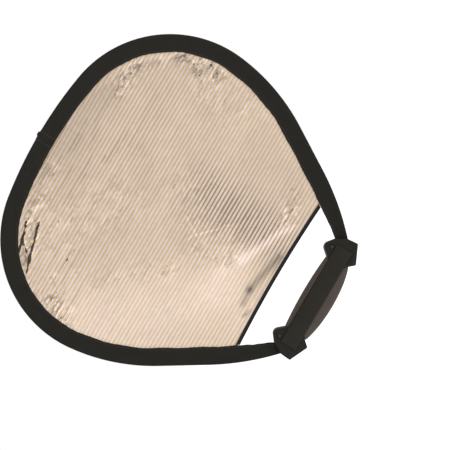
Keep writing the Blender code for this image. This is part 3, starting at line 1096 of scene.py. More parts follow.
class RepeatTree:
    """A Geometry Nodes tree with named inputs, run on an object and turned into a plain mesh."""

    def __init__(self, name: str, inputs: dict[str, tuple[str, float | int | bpy.types.Material]]) -> None:
        """Starts the tree.

        Args:
            name: the tree's name.
            inputs: each input's socket type and value by name.
        """
        self.group = bpy.data.node_groups.new(name, "GeometryNodeTree")
        self.tree, self.values = Tree(self.group), inputs
        self.group.interface.new_socket("Geometry", in_out="INPUT", socket_type="NodeSocketGeometry")
        for title, (kind, _) in inputs.items():
            self.group.interface.new_socket(title, in_out="INPUT", socket_type=kind)
        self.group.interface.new_socket("Geometry", in_out="OUTPUT", socket_type="NodeSocketGeometry")
        self.enter = self.group.nodes.new("NodeGroupInput")
        self.leave = self.group.nodes.new("NodeGroupOutput")

    def given(self, name: str) -> Value:
        """One of the tree's inputs."""
        return Value(self.tree, self.enter.outputs[name])

    def end(self, geometry: Value, finish: str = "Finish") -> None:
        """Ends the tree in Realize Instances and Set Material.

        Args:
            geometry: what the tree has made.
            finish: the name of the material's input.
        """
        real = self.tree.node("GeometryNodeRealizeInstances", None, {"Geometry": geometry})
        inputs = {"Geometry": real, "Material": self.given(finish)}
        dressed = self.tree.node("GeometryNodeSetMaterial", None, inputs)
        self.group.links.new(dressed.socket, self.leave.inputs[0])

    def run(self, name: str, source: bpy.types.ID) -> bpy.types.Object:
        """Runs the tree.

        Args:
            name: the name of the piece.
            source: the mesh or curve that it runs on.

        Returns:
            The piece as a plain mesh.
        """
        carrier = bpy.data.objects.new(name + "_source", source)
        bpy.context.scene.collection.objects.link(carrier)
        step = carrier.modifiers.new("Repeat", "NODES")
        step.node_group = self.group
        for item in self.group.interface.items_tree:
            if item.in_out == "INPUT" and item.name in self.values:
                step[item.identifier] = self.values[item.name][1]
        bpy.context.view_layer.update()
        graph = bpy.context.evaluated_depsgraph_get()
        mesh = bpy.data.meshes.new_from_object(carrier.evaluated_get(graph))
        carrier.modifiers.clear()
        bpy.data.objects.remove(carrier)
        mesh.name = name
        piece = bpy.data.objects.new(name, mesh)
        bpy.context.scene.collection.objects.link(piece)
        return piece


@dataclass
class StitchRow:
    """Lock stitches laid along a path by Geometry Nodes, each a short thread that dips into the cloth."""

    pitch: float = 3.0
    long: float = 2.3
    thread: float = 0.26
    seed: int = 7

    def tree(self) -> RepeatTree:
        """The tree that lays the stitches.

        Returns:
            The tree.
        """
        rows = RepeatTree("lock_stitches", {
            "Pitch": ("NodeSocketFloat", self.pitch * MM),
            "Stitch Length": ("NodeSocketFloat", self.long * MM),
            "Thread Radius": ("NodeSocketFloat", self.thread * MM),
            "Seed": ("NodeSocketInt", self.seed),
            "Finish": ("NodeSocketMaterial", THREAD.material()),
        })
        tree = rows.tree
        spaced = {"Curve": rows.given("Geometry"), "Length": rows.given("Pitch")}
        points = tree.node("GeometryNodeCurveToPoints", {"mode": "LENGTH"}, spaced)
        turned = Value(tree, points.socket.node.outputs["Rotation"])
        bead = tree.node("GeometryNodeMeshUVSphere", None, {"Segments": 6, "Rings": 5, "Radius": 1.0})
        radius = rows.given("Thread Radius")
        shape = tree.vector(radius, radius, rows.given("Stitch Length") * 0.5)
        low, high = (0.88, 0.88, 0.90), (1.10, 1.10, 1.06)
        spread = {0: low, 1: high, "Seed": rows.given("Seed")}
        vary = tree.node("FunctionNodeRandomValue", {"data_type": "FLOAT_VECTOR"}, spread)
        size = tree.node("ShaderNodeVectorMath", {"operation": "MULTIPLY"}, {0: shape, 1: vary})
        laid = tree.node(
            "GeometryNodeInstanceOnPoints", None,
            {"Points": points, "Instance": bead, "Rotation": turned, "Scale": size},
        )
        rows.end(laid)
        return rows

    def lay(self, name: str, paths: Sequence[Sequence[Point]]) -> bpy.types.Object:
        """Stitches along several paths, as one mesh.

        Args:
            name: the piece's name.
            paths: each path's points in metres.

        Returns:
            The piece.
        """
        curve = bpy.data.curves.new(name, "CURVE")
        curve.dimensions = "3D"
        for path in paths:
            spline = curve.splines.new("POLY")
            spline.points.add(len(path) - 1)
            for point, (x, y, z) in zip(spline.points, path):
                point.co = (x, y, z, 1)
        piece = self.tree().run(name, curve)
        piece.data.shade_smooth()
        return piece


# ---------------------------------------------------------------- panels


@dataclass(frozen=True)
class Mark:
    """A crease or a soft patch on a panel, in millimetres on the disc: from one point to another."""

    start: tuple[float, float]
    end: tuple[float, float]
    wide: float
    amount: float

    def weight(self, x: np.ndarray, z: np.ndarray) -> np.ndarray:
        """How strongly the mark shows at each place, fading with the distance from its line.

        Args:
            x: places across.
            z: places up.

        Returns:
            The weight at each place.
        """
        (x0, z0), (x1, z1) = self.start, self.end
        dx, dz = x1 - x0, z1 - z0
        t = np.clip(((x - x0) * dx + (z - z0) * dz) / (dx * dx + dz * dz + 1e-9), 0, 1)
        away = np.hypot(x - x0 - t * dx, z - z0 - t * dz)
        return self.amount * np.exp(-((away / self.wide) ** 2))


@dataclass(frozen=True)
class PanelMarks:
    """All of a panel's marks by kind: creases (painted shade where positive, painted highlight where negative),
    crumpled areas, areas of painted light and shade, areas with fine dark runs along the stripes, and areas
    where the stripes are strongest."""

    creases: tuple[Mark, ...] = ()
    crumples: tuple[Mark, ...] = ()
    painted_lights_and_shades: tuple[Mark, ...] = ()
    runs: tuple[Mark, ...] = ()
    strong: tuple[Mark, ...] = ()

    def values(self, x: np.ndarray, z: np.ndarray) -> dict[str, np.ndarray]:
        """Each attribute's value at each place.

        Args:
            x: places across.
            z: places up.

        Returns:
            The values by the attribute's name.
        """
        kinds = {"crease": self.creases, "crumple": self.crumples, "tone": self.painted_lights_and_shades, "runs": self.runs,
                 "strong": self.strong}
        return {name: sum((m.weight(x, z) for m in marks), np.zeros(len(x))) for name, marks in kinds.items()}


@dataclass
class ClothPanel:
    """A striped panel, stretched in the binding: rings that follow its cut edge round a middle point."""

    name: str
    face: Face
    finish: StripedFoil
    nodes: tuple[str, ...]
    marks: "PanelMarks"
    edge: float = -14.0
    cut_end: tuple[float, float] = (112.0, 56.7)
    cut_middle: float = 60.2
    middle: tuple[float, float] = (0.0, 235.0)
    around: int = 470
    rings: int = 88
    ring_growth: float = 1.25
    thick: float = 0.45
    inside: float = 0.18
    swell: float = 0.75
    swells: tuple[tuple[float, float], ...] = ((118, 0.5), (86, 1.9), (61, 2.6), (47, 0.2), (37, 1.2))
    pucker: float = 0.85
    puckers: tuple[float, float] = (11.5, 7.3)
    seam: float = 8.6
    seam_ease: float = 9.0
    highest: float = 4.5
    seed: float = 0.0

    def cut_edge(self, x: float) -> float:
        """The height of the straight cut edge, which the tension bows."""
        return self.cut_middle + (self.cut_end[1] - self.cut_middle) * (x / self.cut_end[0]) ** 2

    def outline(self) -> np.ndarray:
        """Even points round the panel's edge, as x, z and the distance along the hoop's line.

        Returns:
            An array of one row for each point.
        """
        rim = []
        for station in HOOP.run(HOOP.length, 1.0):
            x, z = station.offset(self.edge)
            if z > self.cut_edge(x):
                rim.append((x, z, station.s))
        reach = rim[-1][0]
        bow = [(x, self.cut_edge(x), 0.0) for x in np.linspace(reach, -reach, 120)[1:-1]]
        loop = np.array(rim + bow + rim[:1])
        steps = np.hypot(np.diff(loop[:, 0]), np.diff(loop[:, 1]))
        along = np.concatenate([[0], np.cumsum(steps)])
        spots = np.linspace(0, along[-1], self.around + 1)[:-1]
        return np.stack([np.interp(spots, along, loop[:, k]) for k in range(3)], axis=1)

    def relief(self, x: np.ndarray, z: np.ndarray, s: np.ndarray, inwards: np.ndarray) -> np.ndarray:
        """How far the cloth stands off the middle plane: slack swells, puckers from the seam, and creases.

        Args:
            x: places across.
            z: places up.
            s: the nearest place along the hoop's line.
            inwards: how far each place is from the panel's edge.

        Returns:
            The height at each place, in millimetres.
        """
        free = np.clip((inwards - self.seam) / self.seam_ease, 0, 1)
        free = free * free * (3 - 2 * free)
        swell = np.zeros_like(x)
        longest = self.swells[0][0]
        for k, (length, tilt) in enumerate(self.swells):
            way = x * math.cos(tilt + self.seed) + z * math.sin(tilt + self.seed)
            swell += np.sin(2 * math.pi * way / length + k * 1.7 + 3 * self.seed) * (length / longest) ** 0.8
        deep = np.clip(inwards / 60, 0, 1)
        height = self.swell * (1.6 + swell * 0.55) * deep
        waves = np.vectorize(ripple)
        wide, narrow = self.puckers
        wave = waves(s, wide, 0.7 + self.seed) + 0.5 * waves(s, narrow, 2.1 + self.seed)
        fade = np.exp(-np.clip(inwards - 11, 0, None) / 17.0)
        straight = np.clip(np.abs(s) * 1e3, 0, 1)
        height = height + self.pucker * (0.8 + 0.5 * wave) * fade * straight * free
        for mark in self.marks.creases:
            height = height + 0.9 * mark.weight(x, z) * free
        return np.clip(height, 0.0, self.highest) * free

    def build(self) -> bpy.types.Object:
        """The panel as one closed thin sheet.

        Returns:
            The piece.
        """
        edge = self.outline()
        share = (1 - np.linspace(0, 1, self.rings + 1) ** self.ring_growth)[:-1]
        x = self.middle[0] + (edge[None, :, 0] - self.middle[0]) * share[:, None]
        z = self.middle[1] + (edge[None, :, 1] - self.middle[1]) * share[:, None]
        s = np.broadcast_to(edge[None, :, 2], x.shape)
        reach = np.hypot(edge[:, 0] - self.middle[0], edge[:, 1] - self.middle[1])
        inwards = (1 - share[:, None]) * reach[None, :] * 0.93
        centre = (*self.middle, 0.0, reach.min())
        flat = [np.append(a.ravel(), last) for a, last in zip((x, z, s, inwards), centre)]
        height = self.relief(*flat)
        sign = self.face.value
        outer = np.stack([flat[0], sign * (self.inside + self.thick + height), flat[1]], axis=1) * MM
        inner = np.stack([flat[0], sign * (self.inside + height), flat[1]], axis=1) * MM
        n, total = self.around, len(flat[0])
        faces = []
        for base in (0, total):
            for ring in range(self.rings - 1):
                a, b = base + ring * n, base + (ring + 1) * n
                faces += [(a + k, a + (k + 1) % n, b + (k + 1) % n, b + k) for k in range(n)]
            last = base + (self.rings - 1) * n
            faces += [(last + k, last + (k + 1) % n, base + total - 1) for k in range(n)]
        faces += [(k, total + k, total + (k + 1) % n, (k + 1) % n) for k in range(n)]
        piece = mesh_piece(self.name, np.concatenate([outer, inner]), faces, self.finish)
        uv = np.stack([flat[0], flat[1]], axis=1) * MM
        store_uv(piece, np.concatenate([uv, uv]))
        for title, value in self.marks.values(flat[0], flat[1]).items():
            store(piece, title, np.concatenate([value, value]))
        return finished(piece, Hold.BENDS, self.nodes)

    def cut_size(self) -> tuple[tuple[float, float], float]:
        """The flat cloth's width and length, and its area, in metres.

        Returns:
            ((width, length), area).
        """
        edge = self.outline() * MM
        x, z = edge[:, 0], edge[:, 1]
        area = abs(float(np.dot(x, np.roll(z, -1)) - np.dot(z, np.roll(x, -1)))) / 2
        return (float(np.ptp(x)), float(np.ptp(z))), area


@dataclass
class CutEdgeTape:
    """The narrow tape folded over the panels' free edge beside the finger gap, with its row of stitches."""

    panel: ClothPanel
    half: float = 2.5
    sheet: float = 1.0
    tape: float = 0.7
    step: float = 2.0
    end_gap: float = 0.6

    def reach(self, dz: float) -> float:
        """How far from the middle the tape ends at a height above the cut edge's line.

        Args:
            dz: the height above the line.

        Returns:
            The distance in millimetres.
        """
        z = self.panel.cut_end[1] + dz
        edge = [HOOP.at(s).offset(HOOP.inner_edge(s)) for s in np.linspace(HOOP.length - 120, HOOP.length, 400)]
        heights, spots = [p[1] for p in edge][::-1], [p[0] for p in edge][::-1]
        return float(np.interp(z, heights, spots)) - self.end_gap

    def half_section(self, x: float, face: Face) -> list[tuple[float, float]]:
        """The outside of the tape on one face at one place, from its top edge to the fold.

        Args:
            x: the place along the tape.
            face: which face.

        Returns:
            Points as (height above the line, distance from the middle plane).
        """
        seed = 0.6 if face is Face.WARM else 1.9
        wave = 0.10 * ripple(x + 400, 9.0, seed)
        out, h = self.sheet + self.tape + wave, self.half
        top = [(h, out - 0.3), (h - 0.15, out - 0.05), (h - 0.6, out), (h - 1.5, out - 0.06)]
        middle = [(0.2, out - 0.12), (-0.9, out - 0.04)]
        return top + middle + [(-h + 0.9, out), (-h + 0.45, out - 0.25), (-h + 0.12, out - 0.8)]

    def surface(self, x: float, dz: float, face: Face) -> Point:
        """A point on the tape's outside.

        Args:
            x: the place along the tape.
            dz: the height above the cut edge's line.
            face: which face.

        Returns:
            The point, in metres.
        """
        half = self.half_section(x, face)[::-1]
        y = float(np.interp(dz, [p[0] for p in half], [p[1] for p in half]))
        return x * MM, face.value * y * MM, (self.panel.cut_edge(x) + dz) * MM

    def build(self) -> bpy.types.Object:
        """The tape as one piece.

        Returns:
            The piece.
        """
        low, high = self.reach(-self.half), self.reach(self.half)
        mean = (low + high) / 2
        count = 2 * math.ceil(mean / self.step)
        skin = TapeSkin()
        lining = [(-0.5, self.sheet), (self.half, self.sheet)]
        for k in range(count + 1):
            share = 2 * k / count - 1
            middle = mean * share
            front, back = self.half_section(middle, Face.WARM), self.half_section(middle, Face.SILVER)
            ring = [(dz, -y) for dz, y in front] + [(-self.half, 0.0)] + [(dz, y) for dz, y in reversed(back)]
            ring += [(dz, y) for dz, y in reversed(lining)] + [(dz, -y) for dz, y in lining]
            along = [share * (mean + (high - low) * dz / (2 * self.half)) for dz, _ in ring]
            spots = [(x, y, self.panel.cut_edge(middle) + dz) for x, (dz, y) in zip(along, ring)]
            worn = [math.exp(-min(abs(dz - self.half), abs(dz + self.half)) / 0.35) for dz, _ in ring]
            skin.ring(spots, along, travelled(ring), worn)
        return finished(skin.piece("free_edge_tape"), Hold.GRIP, ["cut_edge_tape"])

    def stitches(self) -> bpy.types.Object:
        """The rows of stitches on both faces of the tape.

        Returns:
            The piece.
        """
        ends = self.reach(0.0) - 2
        spots = np.linspace(-ends, ends, 140)
        paths = [[self.surface(x, 0.9, face) for x in spots] for face in Face]
        return finished(StitchRow(seed=11).lay("free_edge_stitches", paths), Hold.GRIP)


@dataclass
class TapeJoin:
    """Where the binding's two ends meet: a bar-tacked wrap of tape, with a stub of its end standing out."""

    binding: RimBinding
    start: float = -9.5
    end: float = 5.5
    proud: float = 0.5
    hem: float = -21.0
    wrap_rings: int = 17
    stub_half: tuple[float, float] = (3.3, 1.4)
    stub_high: float = 1.9
    stub_rings: int = 9
    stub_points: int = 12

    def wrap(self) -> bpy.types.Object:
        """The wrapped length, whose two cut edges are turned under.

        Returns:
            The piece.
        """
        skin = TapeSkin()
        for k in range(self.wrap_rings):
            t = k / (self.wrap_rings - 1)
            station = HOOP.at(self.start + (self.end - self.start) * t)
            rise = self.proud * min(1.0, 8 * min(t, 1 - t) + 0.25)
            outside = self.binding.outside(station.s)
            ring = [(n + (rise * 0.6 if n > 0 else -rise * 0.3 if n < self.hem else 0),
                     y + math.copysign(rise, y) if y else 0) for n, y in outside]
            ring += [(n, y * 0.9 - math.copysign(0.15, y) if y else 0) for n, y in reversed(outside)]
            spots = [station.point(n, y) for n, y in ring]
            worn = [math.exp(-min(t, 1 - t) * 14)] * len(ring)
            skin.ring(spots, [station.s] * len(ring), travelled(ring), worn)
        return skin.piece("binding_join_wrap")

    def stub(self) -> bpy.types.Object:
        """The stub of folded tape that stands out of the rim.

        Returns:
            The piece.
        """
        (half_long, half_thick), base = self.stub_half, HOOP.top + HOOP.binding_out - 0.4
        skin = TapeSkin()
        angles = [2 * math.pi * i / self.stub_points for i in range(self.stub_points)]
        for k in range(self.stub_rings):
            t = k / (self.stub_rings - 1)
            wide = half_long * (1 - 0.30 * t ** 3)
            thick = half_thick * (1 - 0.55 * t ** 2)
            rise = (self.stub_high + 0.7) * math.sin(t * math.pi / 2)
            across = [wide * math.copysign(abs(math.cos(a)) ** 0.5, math.cos(a)) + 0.35 * t * t for a in angles]
            out = [thick * math.copysign(abs(math.sin(a)) ** 0.6, math.sin(a)) for a in angles]
            spots = [(x, y, base + rise - 0.12 * abs(x) * t) for x, y in zip(across, out)]
            skin.ring(spots, across, [rise + y for y in out], [t ** 3] * len(angles))
        return skin.piece("binding_join_stub")

    def build(self) -> bpy.types.Object:
        """The join as one piece on the far side."""
        piece = join("binding_join", [self.wrap(), self.stub()])
        return finished(piece, Hold.FAR, ["binding_join_tab"])

    def bar_tacks(self) -> bpy.types.Object:
        """Close rows of stitches across the join, on both faces.

        Returns:
            The piece.
        """
        paths = []
        for face in Face:
            for s in (self.start + 1.4, self.start + 2.4, self.end - 1.4):
                row = [self.binding.surface(s, d, face) for d in np.linspace(1.5, 20.0, 20)]
                paths.append([(x, y + face.value * (self.proud + 0.05) * MM, z) for x, y, z in row])
        return finished(StitchRow(pitch=1.9, long=1.7, seed=23).lay("join_bar_tacks", paths), Hold.FAR)


# ---------------------------------------------------------------- handle


@dataclass
class GripHandle:
    """The moulded handle: two shells with a raised spine between two lugs.

    The channel and the pocket are the hoop's way into a lug and the ferrule's room: start, end, half width and
    half thickness. The socket takes the binding, whose width it has. Past is a size beyond the whole handle.
    """

    beam_half: float = 11.75
    lug_thick: float = 11.7
    spine_thick: float = 14.0
    spine_end: float = 74.5
    edge_round: float = 1.5
    spine_round: float = 1.6
    facet_drop: float = 20.0
    facet_step: float = 0.6
    shell_gap: float = 0.15
    room: float = 0.3
    screw_at: tuple[float, float] = (68.5, 15.7)
    bore: float = 1.85
    recess: float = 3.5
    recess_flare: float = 0.45
    head_seat: float = 8.9
    nut_seat: float = 8.6
    through: float = 20.0
    socket: tuple[float, float, float] = (-14.0, 6.0, 3.9)
    channel: tuple[float, float, float, float] = (0.0, 20.0, 1.0, 2.9)
    pocket: tuple[float, float, float, float] = (8.2, 20.9, 3.9, 4.4)
    past: Point = (120.0, 30.0, 60.0)
    helpers: list[bpy.types.Object] = field(default_factory=list)

    def corners(self) -> list[tuple[float, float, float]]:
        """The outline's corners of the right-hand half, from the top edge round the lug.

        Returns:
            Each corner's x, z and radius.
        """
        b = self.beam_half
        return [(51.2, b, 2.5), (66.0, 28.4, 8.0), (80.0, 17.2, 2.2), (88.2, 2.6, 2.4), (89.5, -12.0, 2.2),
                (63.2, -24.2, 2.4), (52.4, -b, 2.5)]

    def outline(self) -> list[Vector]:
        """The rounded outline of the whole handle, seen from the front.

        Returns:
            Its points (x, z), in order.
        """
        right = self.corners()
        corners = right + [(-x, z, r) for x, z, r in reversed(right)]
        points = []
        for i, (x, z, radius) in enumerate(corners):
            corner = Vector((x, z))
            before = (Vector(corners[i - 1][:2]) - corner).normalized()
            after = (Vector(corners[(i + 1) % len(corners)][:2]) - corner).normalized()
            half = before.angle(after) / 2
            centre = corner + (before + after).normalized() * (radius / math.sin(half))
            first = corner + before * (radius / math.tan(half)) - centre
            last = corner + after * (radius / math.tan(half)) - centre
            swing = first.angle_signed(last)
            steps = max(3, math.ceil(abs(math.degrees(swing)) / 9))
            points += [centre + Matrix.Rotation(-swing * k / steps, 2) @ first for k in range(steps + 1)]
        return points

    def block(self, low: Point, high: Point, place: Matrix = Matrix.Identity(4)) -> bpy.types.Object:
        """A box used to cut or join, in millimetres.

        Args:
            low: its lowest corner.
            high: its highest corner.
            place: turns and moves it, in metres.

        Returns:
            The helper.
        """
        a, b = Vector(low) * MM, Vector(high) * MM
        shape = bmesh.new()
        bmesh.ops.create_cube(shape, size=1)
        shape.transform(place @ Matrix.Translation((a + b) / 2) @ Matrix.Diagonal((*(b - a), 1)))
        bmesh.ops.recalc_face_normals(shape, faces=shape.faces)
        return self.helper(shape)

    def helper(self, shape: bmesh.types.BMesh) -> bpy.types.Object:
        """A hidden object that a Boolean uses.

        Args:
            shape: its mesh, which is freed.

        Returns:
            The object.
        """
        mesh = bpy.data.meshes.new("shaping_block")
        shape.to_mesh(mesh)
        shape.free()
        made = bpy.data.objects.new("shaping_block", mesh)
        bpy.context.scene.collection.objects.link(made)
        self.helpers.append(made)
        return made

    def round_block(
        self, profile: Sequence[tuple[float, float]], centre: tuple[float, float],
    ) -> bpy.types.Object:
        """A turned helper about a line along Y.

        Args:
            profile: (radius, y) from one end to the other, both ends on the line.
            centre: where the line is, as (x, z).

        Returns:
            The helper.
        """
        shape, count, rings = bmesh.new(), 40, []
        for r, y in profile:
            if r == 0:
                rings.append([shape.verts.new((centre[0] * MM, y * MM, centre[1] * MM))])
                continue
            ring = []
            for a in (2 * math.pi * k / count for k in range(count)):
                x, z = centre[0] + r * math.cos(a), centre[1] + r * math.sin(a)
                ring.append(shape.verts.new((x * MM, y * MM, z * MM)))
            rings.append(ring)
        for a, b in zip(rings, rings[1:]):
            for k in range(count):
                j = (k + 1) % count
                corners = [a[k % len(a)], a[j % len(a)], b[j % len(b)], b[k % len(b)]]
                shape.faces.new(list(dict.fromkeys(corners)))
        bmesh.ops.recalc_face_normals(shape, faces=shape.faces)
        return self.helper(shape)

    def mouth(
        self, side: int, near: float, far: float, low: float, high: float, half: float,
    ) -> bpy.types.Object:
        """A block along the hoop's way into a lug.

        Args:
            side: 1 for the right-hand lug, -1 for the left.
            near: the depth where it starts, from the mouth.
            far: the depth where it ends.
            low: its inner offset from the hoop's line.
            high: its outer offset.
            half: half its size along Y.

        Returns:
            The helper.
        """
        station = HOOP.at(HOOP.length)
        angle = station.heading if side > 0 else math.pi - station.heading
        low, high = (low, high) if side > 0 else (-high, -low)
        place = Matrix.Translation((side * station.x * MM, 0, station.z * MM)) @ Matrix.Rotation(angle, 4, "Y")
        return self.block((near, -half, low), (far, half, high), place)

    def cutters(self) -> list[bpy.types.Object]:
        """What is cut out of the shells: mouths, end facets, recesses and screw holes.

        Returns:
            The helpers.
        """
        made = []
        wide = HOOP.binding_out - HOOP.binding_at_lug - self.room
        for side, _ in SIDES:
            start, end, thick = self.socket
            made.append(self.mouth(side, start, end, wide, HOOP.binding_out + self.room, thick))
            for start, end, half, thick in (self.channel, self.pocket):
                made.append(self.mouth(side, start, end, -half, half, thick))
            for face in (1, -1):
                lean = Matrix.Rotation(math.radians(-self.facet_drop), 4, "Z")
                corner = ((self.spine_end + self.facet_step) * MM, (self.lug_thick - 0.2) * MM, 0)
                mirror = Matrix.Diagonal((side, face, 1, 1))
                place = mirror @ Matrix.Translation(corner) @ lean
                made.append(self.block((0, 0, -40), (30, 30, 40), place))
            made.append(self.round_block(self.screw_way(), (side * self.screw_at[0], self.screw_at[1])))
        return made

    def screw_way(self) -> list[tuple[float, float]]:
        """The outline of a screw's hole: the nut's recess, the bore and the head's recess.

        Returns:
            Points as (radius, y).
        """
        wall, out, end, face = self.recess, self.recess + self.recess_flare, self.through, self.lug_thick
        low, high = -(self.nut_seat - self.room), self.head_seat - self.room
        nut = [(0, -end), (out, -end), (out, -face), (wall, -face + self.recess_flare)]
        head = [(wall, face - self.recess_flare), (out, face), (out, end), (0, end)]
        return nut + [(wall, low), (self.bore, low), (self.bore, high), (wall, high)] + head

    def plate(self) -> bpy.types.Object:
        """The rounded plate that both shells are cut from.

        Returns:
            The plate, as a mesh at the origin.
        """
        curve = bpy.data.curves.new("handle_plate", "CURVE")
        curve.dimensions, curve.fill_mode = "2D", "BOTH"
        curve.extrude = (self.lug_thick - self.edge_round) * MM
        curve.bevel_depth, curve.bevel_resolution = self.edge_round * MM, 4
        curve.offset = -self.edge_round * MM
        outline = self.outline()
        spline = curve.splines.new("POLY")
        spline.points.add(len(outline) - 1)
        for point, (x, z) in zip(spline.points, outline):
            point.co = (x * MM, z * MM, 0, 1)
        spline.use_cyclic_u = True
        guide = bpy.data.objects.new("handle_plate", curve)
        bpy.context.scene.collection.objects.link(guide)
        graph = bpy.context.evaluated_depsgraph_get()
        mesh = bpy.data.meshes.new_from_object(guide.evaluated_get(graph))
        bpy.data.objects.remove(guide)
        mesh.transform(Matrix.Rotation(math.pi / 2, 4, "X"))
        shape = bmesh.new()
        shape.from_mesh(mesh)
        bmesh.ops.remove_doubles(shape, verts=shape.verts, dist=1e-6)
        bmesh.ops.recalc_face_normals(shape, faces=shape.faces)
        shape.to_mesh(mesh)
        shape.free()
        plate = bpy.data.objects.new("handle_plate", mesh)
        bpy.context.scene.collection.objects.link(plate)
        return plate

    def spine(self) -> bpy.types.Object:
        """The raised spine, which stands out on both faces.

        Returns:
            The helper.
        """
        b = self.beam_half - 0.1
        made = self.block((-self.spine_end, -self.spine_thick, -b), (self.spine_end, self.spine_thick, b))
        soften = made.modifiers.new("Rounded spine", "BEVEL")
        soften.width, soften.segments = self.spine_round * MM, 5
        return made

    def shells(self) -> list[bpy.types.Object]:
        """The front and back shells.

        Returns:
            The two pieces.
        """
        spine, cutters = self.spine(), self.cutters()
        made = []
        for name, face in (("front", -1), ("back", 1)):
            shell = self.plate()
            shell.name = f"handle_{name}_moulding"
            x, y, z = self.past
            near, far = sorted((face * self.shell_gap, -face * y))
            half = self.block((-x, near, -z), (x, far, z))
            for tool, operation in ((spine, "UNION"), *((c, "DIFFERENCE") for c in (*cutters, half))):
                step = shell.modifiers.new(operation.title(), "BOOLEAN")
                step.operation, step.solver, step.object = operation, "EXACT", tool
            settle(shell)
            shell.data.materials.clear()
            shell.data.materials.append(PLASTIC.material())
            shell.data.shade_smooth()
            shell.data.set_sharp_from_angle(angle=math.radians(32))
            made.append(finished(shell, Hold.GRIP, [f"handle_{name}_shell"]))
        for helper in self.helpers:
            bpy.data.objects.remove(helper)
        self.helpers.clear()
        return made


@dataclass
class GripInsert:
    """A soft insert on one side of the spine, whose half-round section follows a rule and carries fine ribs."""

    name: str
    side: int
    end_rise: float
    middle_rise: float
    half_long: float
    thick: float = 11.9
    root: float = 12.05
    slant: float = 0.87
    rib_pitch: float = 1.45
    rib_height: float = 0.32
    points: int = 48
    slices: int = 560

    def tree(self) -> RepeatTree:
        """The tree that shapes the insert from a plain tube.

        Returns:
            The tree.
        """
        rule = RepeatTree(self.name + "_rule", {
            "Half Length": ("NodeSocketFloat", self.half_long * MM),
            "Half Thickness": ("NodeSocketFloat", self.thick * MM),
            "Root": ("NodeSocketFloat", self.root * MM),
            "End Rise": ("NodeSocketFloat", self.end_rise * MM),
            "Middle Rise": ("NodeSocketFloat", self.middle_rise * MM),
            "Slant": ("NodeSocketFloat", self.slant / self.half_long),
            "Rib Pitch": ("NodeSocketFloat", self.rib_pitch * MM),
            "Rib Height": ("NodeSocketFloat", self.rib_height * MM),
            "Side": ("NodeSocketFloat", float(self.side)),
            "Finish": ("NodeSocketMaterial", RUBBER.material()),
        })
        tree = rule.tree
        sizes = {"Vertices": self.points, "Side Segments": self.slices, "Radius": 1.0, "Depth": 2.0}
        tube = tree.node("GeometryNodeMeshCylinder", {"fill_type": "NGON"}, sizes)
        px, py, along = tree.parts(tree.node("GeometryNodeInputPosition"))
        x = along * rule.given("Half Length")
        end, middle, root = (rule.given(n) for n in ("End Rise", "Middle Rise", "Root"))
        rise = end + (middle - end) * (1 - along * along)
        wave = (x * (2 * math.pi) / rule.given("Rib Pitch")).cos() * 0.5 + 0.5
        ends = 1 - (along.absolute() - 0.955).at_least(0.0) * 22
        rib = (wave ** 1.6) * px.step(0.08, 0.45) * ends.clamped()
        shape = px.at_least(0.0)
        sink = rule.given("Rib Height") * (rib - 1) * px.step(0.02, 0.2)
        height = root + (rise - root) * shape + sink * shape
        y = py * (rule.given("Half Thickness") + sink * 0.8)
        lean = x * (1 + rule.given("Slant") * ((height - root) / MM))
        place = tree.vector(lean, y, height * rule.given("Side"))
        moved = tree.node("GeometryNodeSetPosition", None, {"Geometry": tube, "Position": place})
        marked = tree.node("GeometryNodeStoreNamedAttribute", {"data_type": "FLOAT", "domain": "POINT"},
                           {"Geometry": moved, "Name": "rib", "Value": rib})
        rule.end(marked)
        return rule

    def build(self) -> bpy.types.Object:
        """The insert, on the grip side.

        Returns:
            The piece.
        """
        piece = self.tree().run(self.name + "_cushion", bpy.data.meshes.new("seed"))
        shape = bmesh.new()
        shape.from_mesh(piece.data)
        bmesh.ops.recalc_face_normals(shape, faces=shape.faces)
        shape.to_mesh(piece.data)
        shape.free()
        piece.data.shade_smooth()
        piece.data.set_sharp_from_angle(angle=math.radians(60))
        return finished(piece, Hold.GRIP, [self.name])


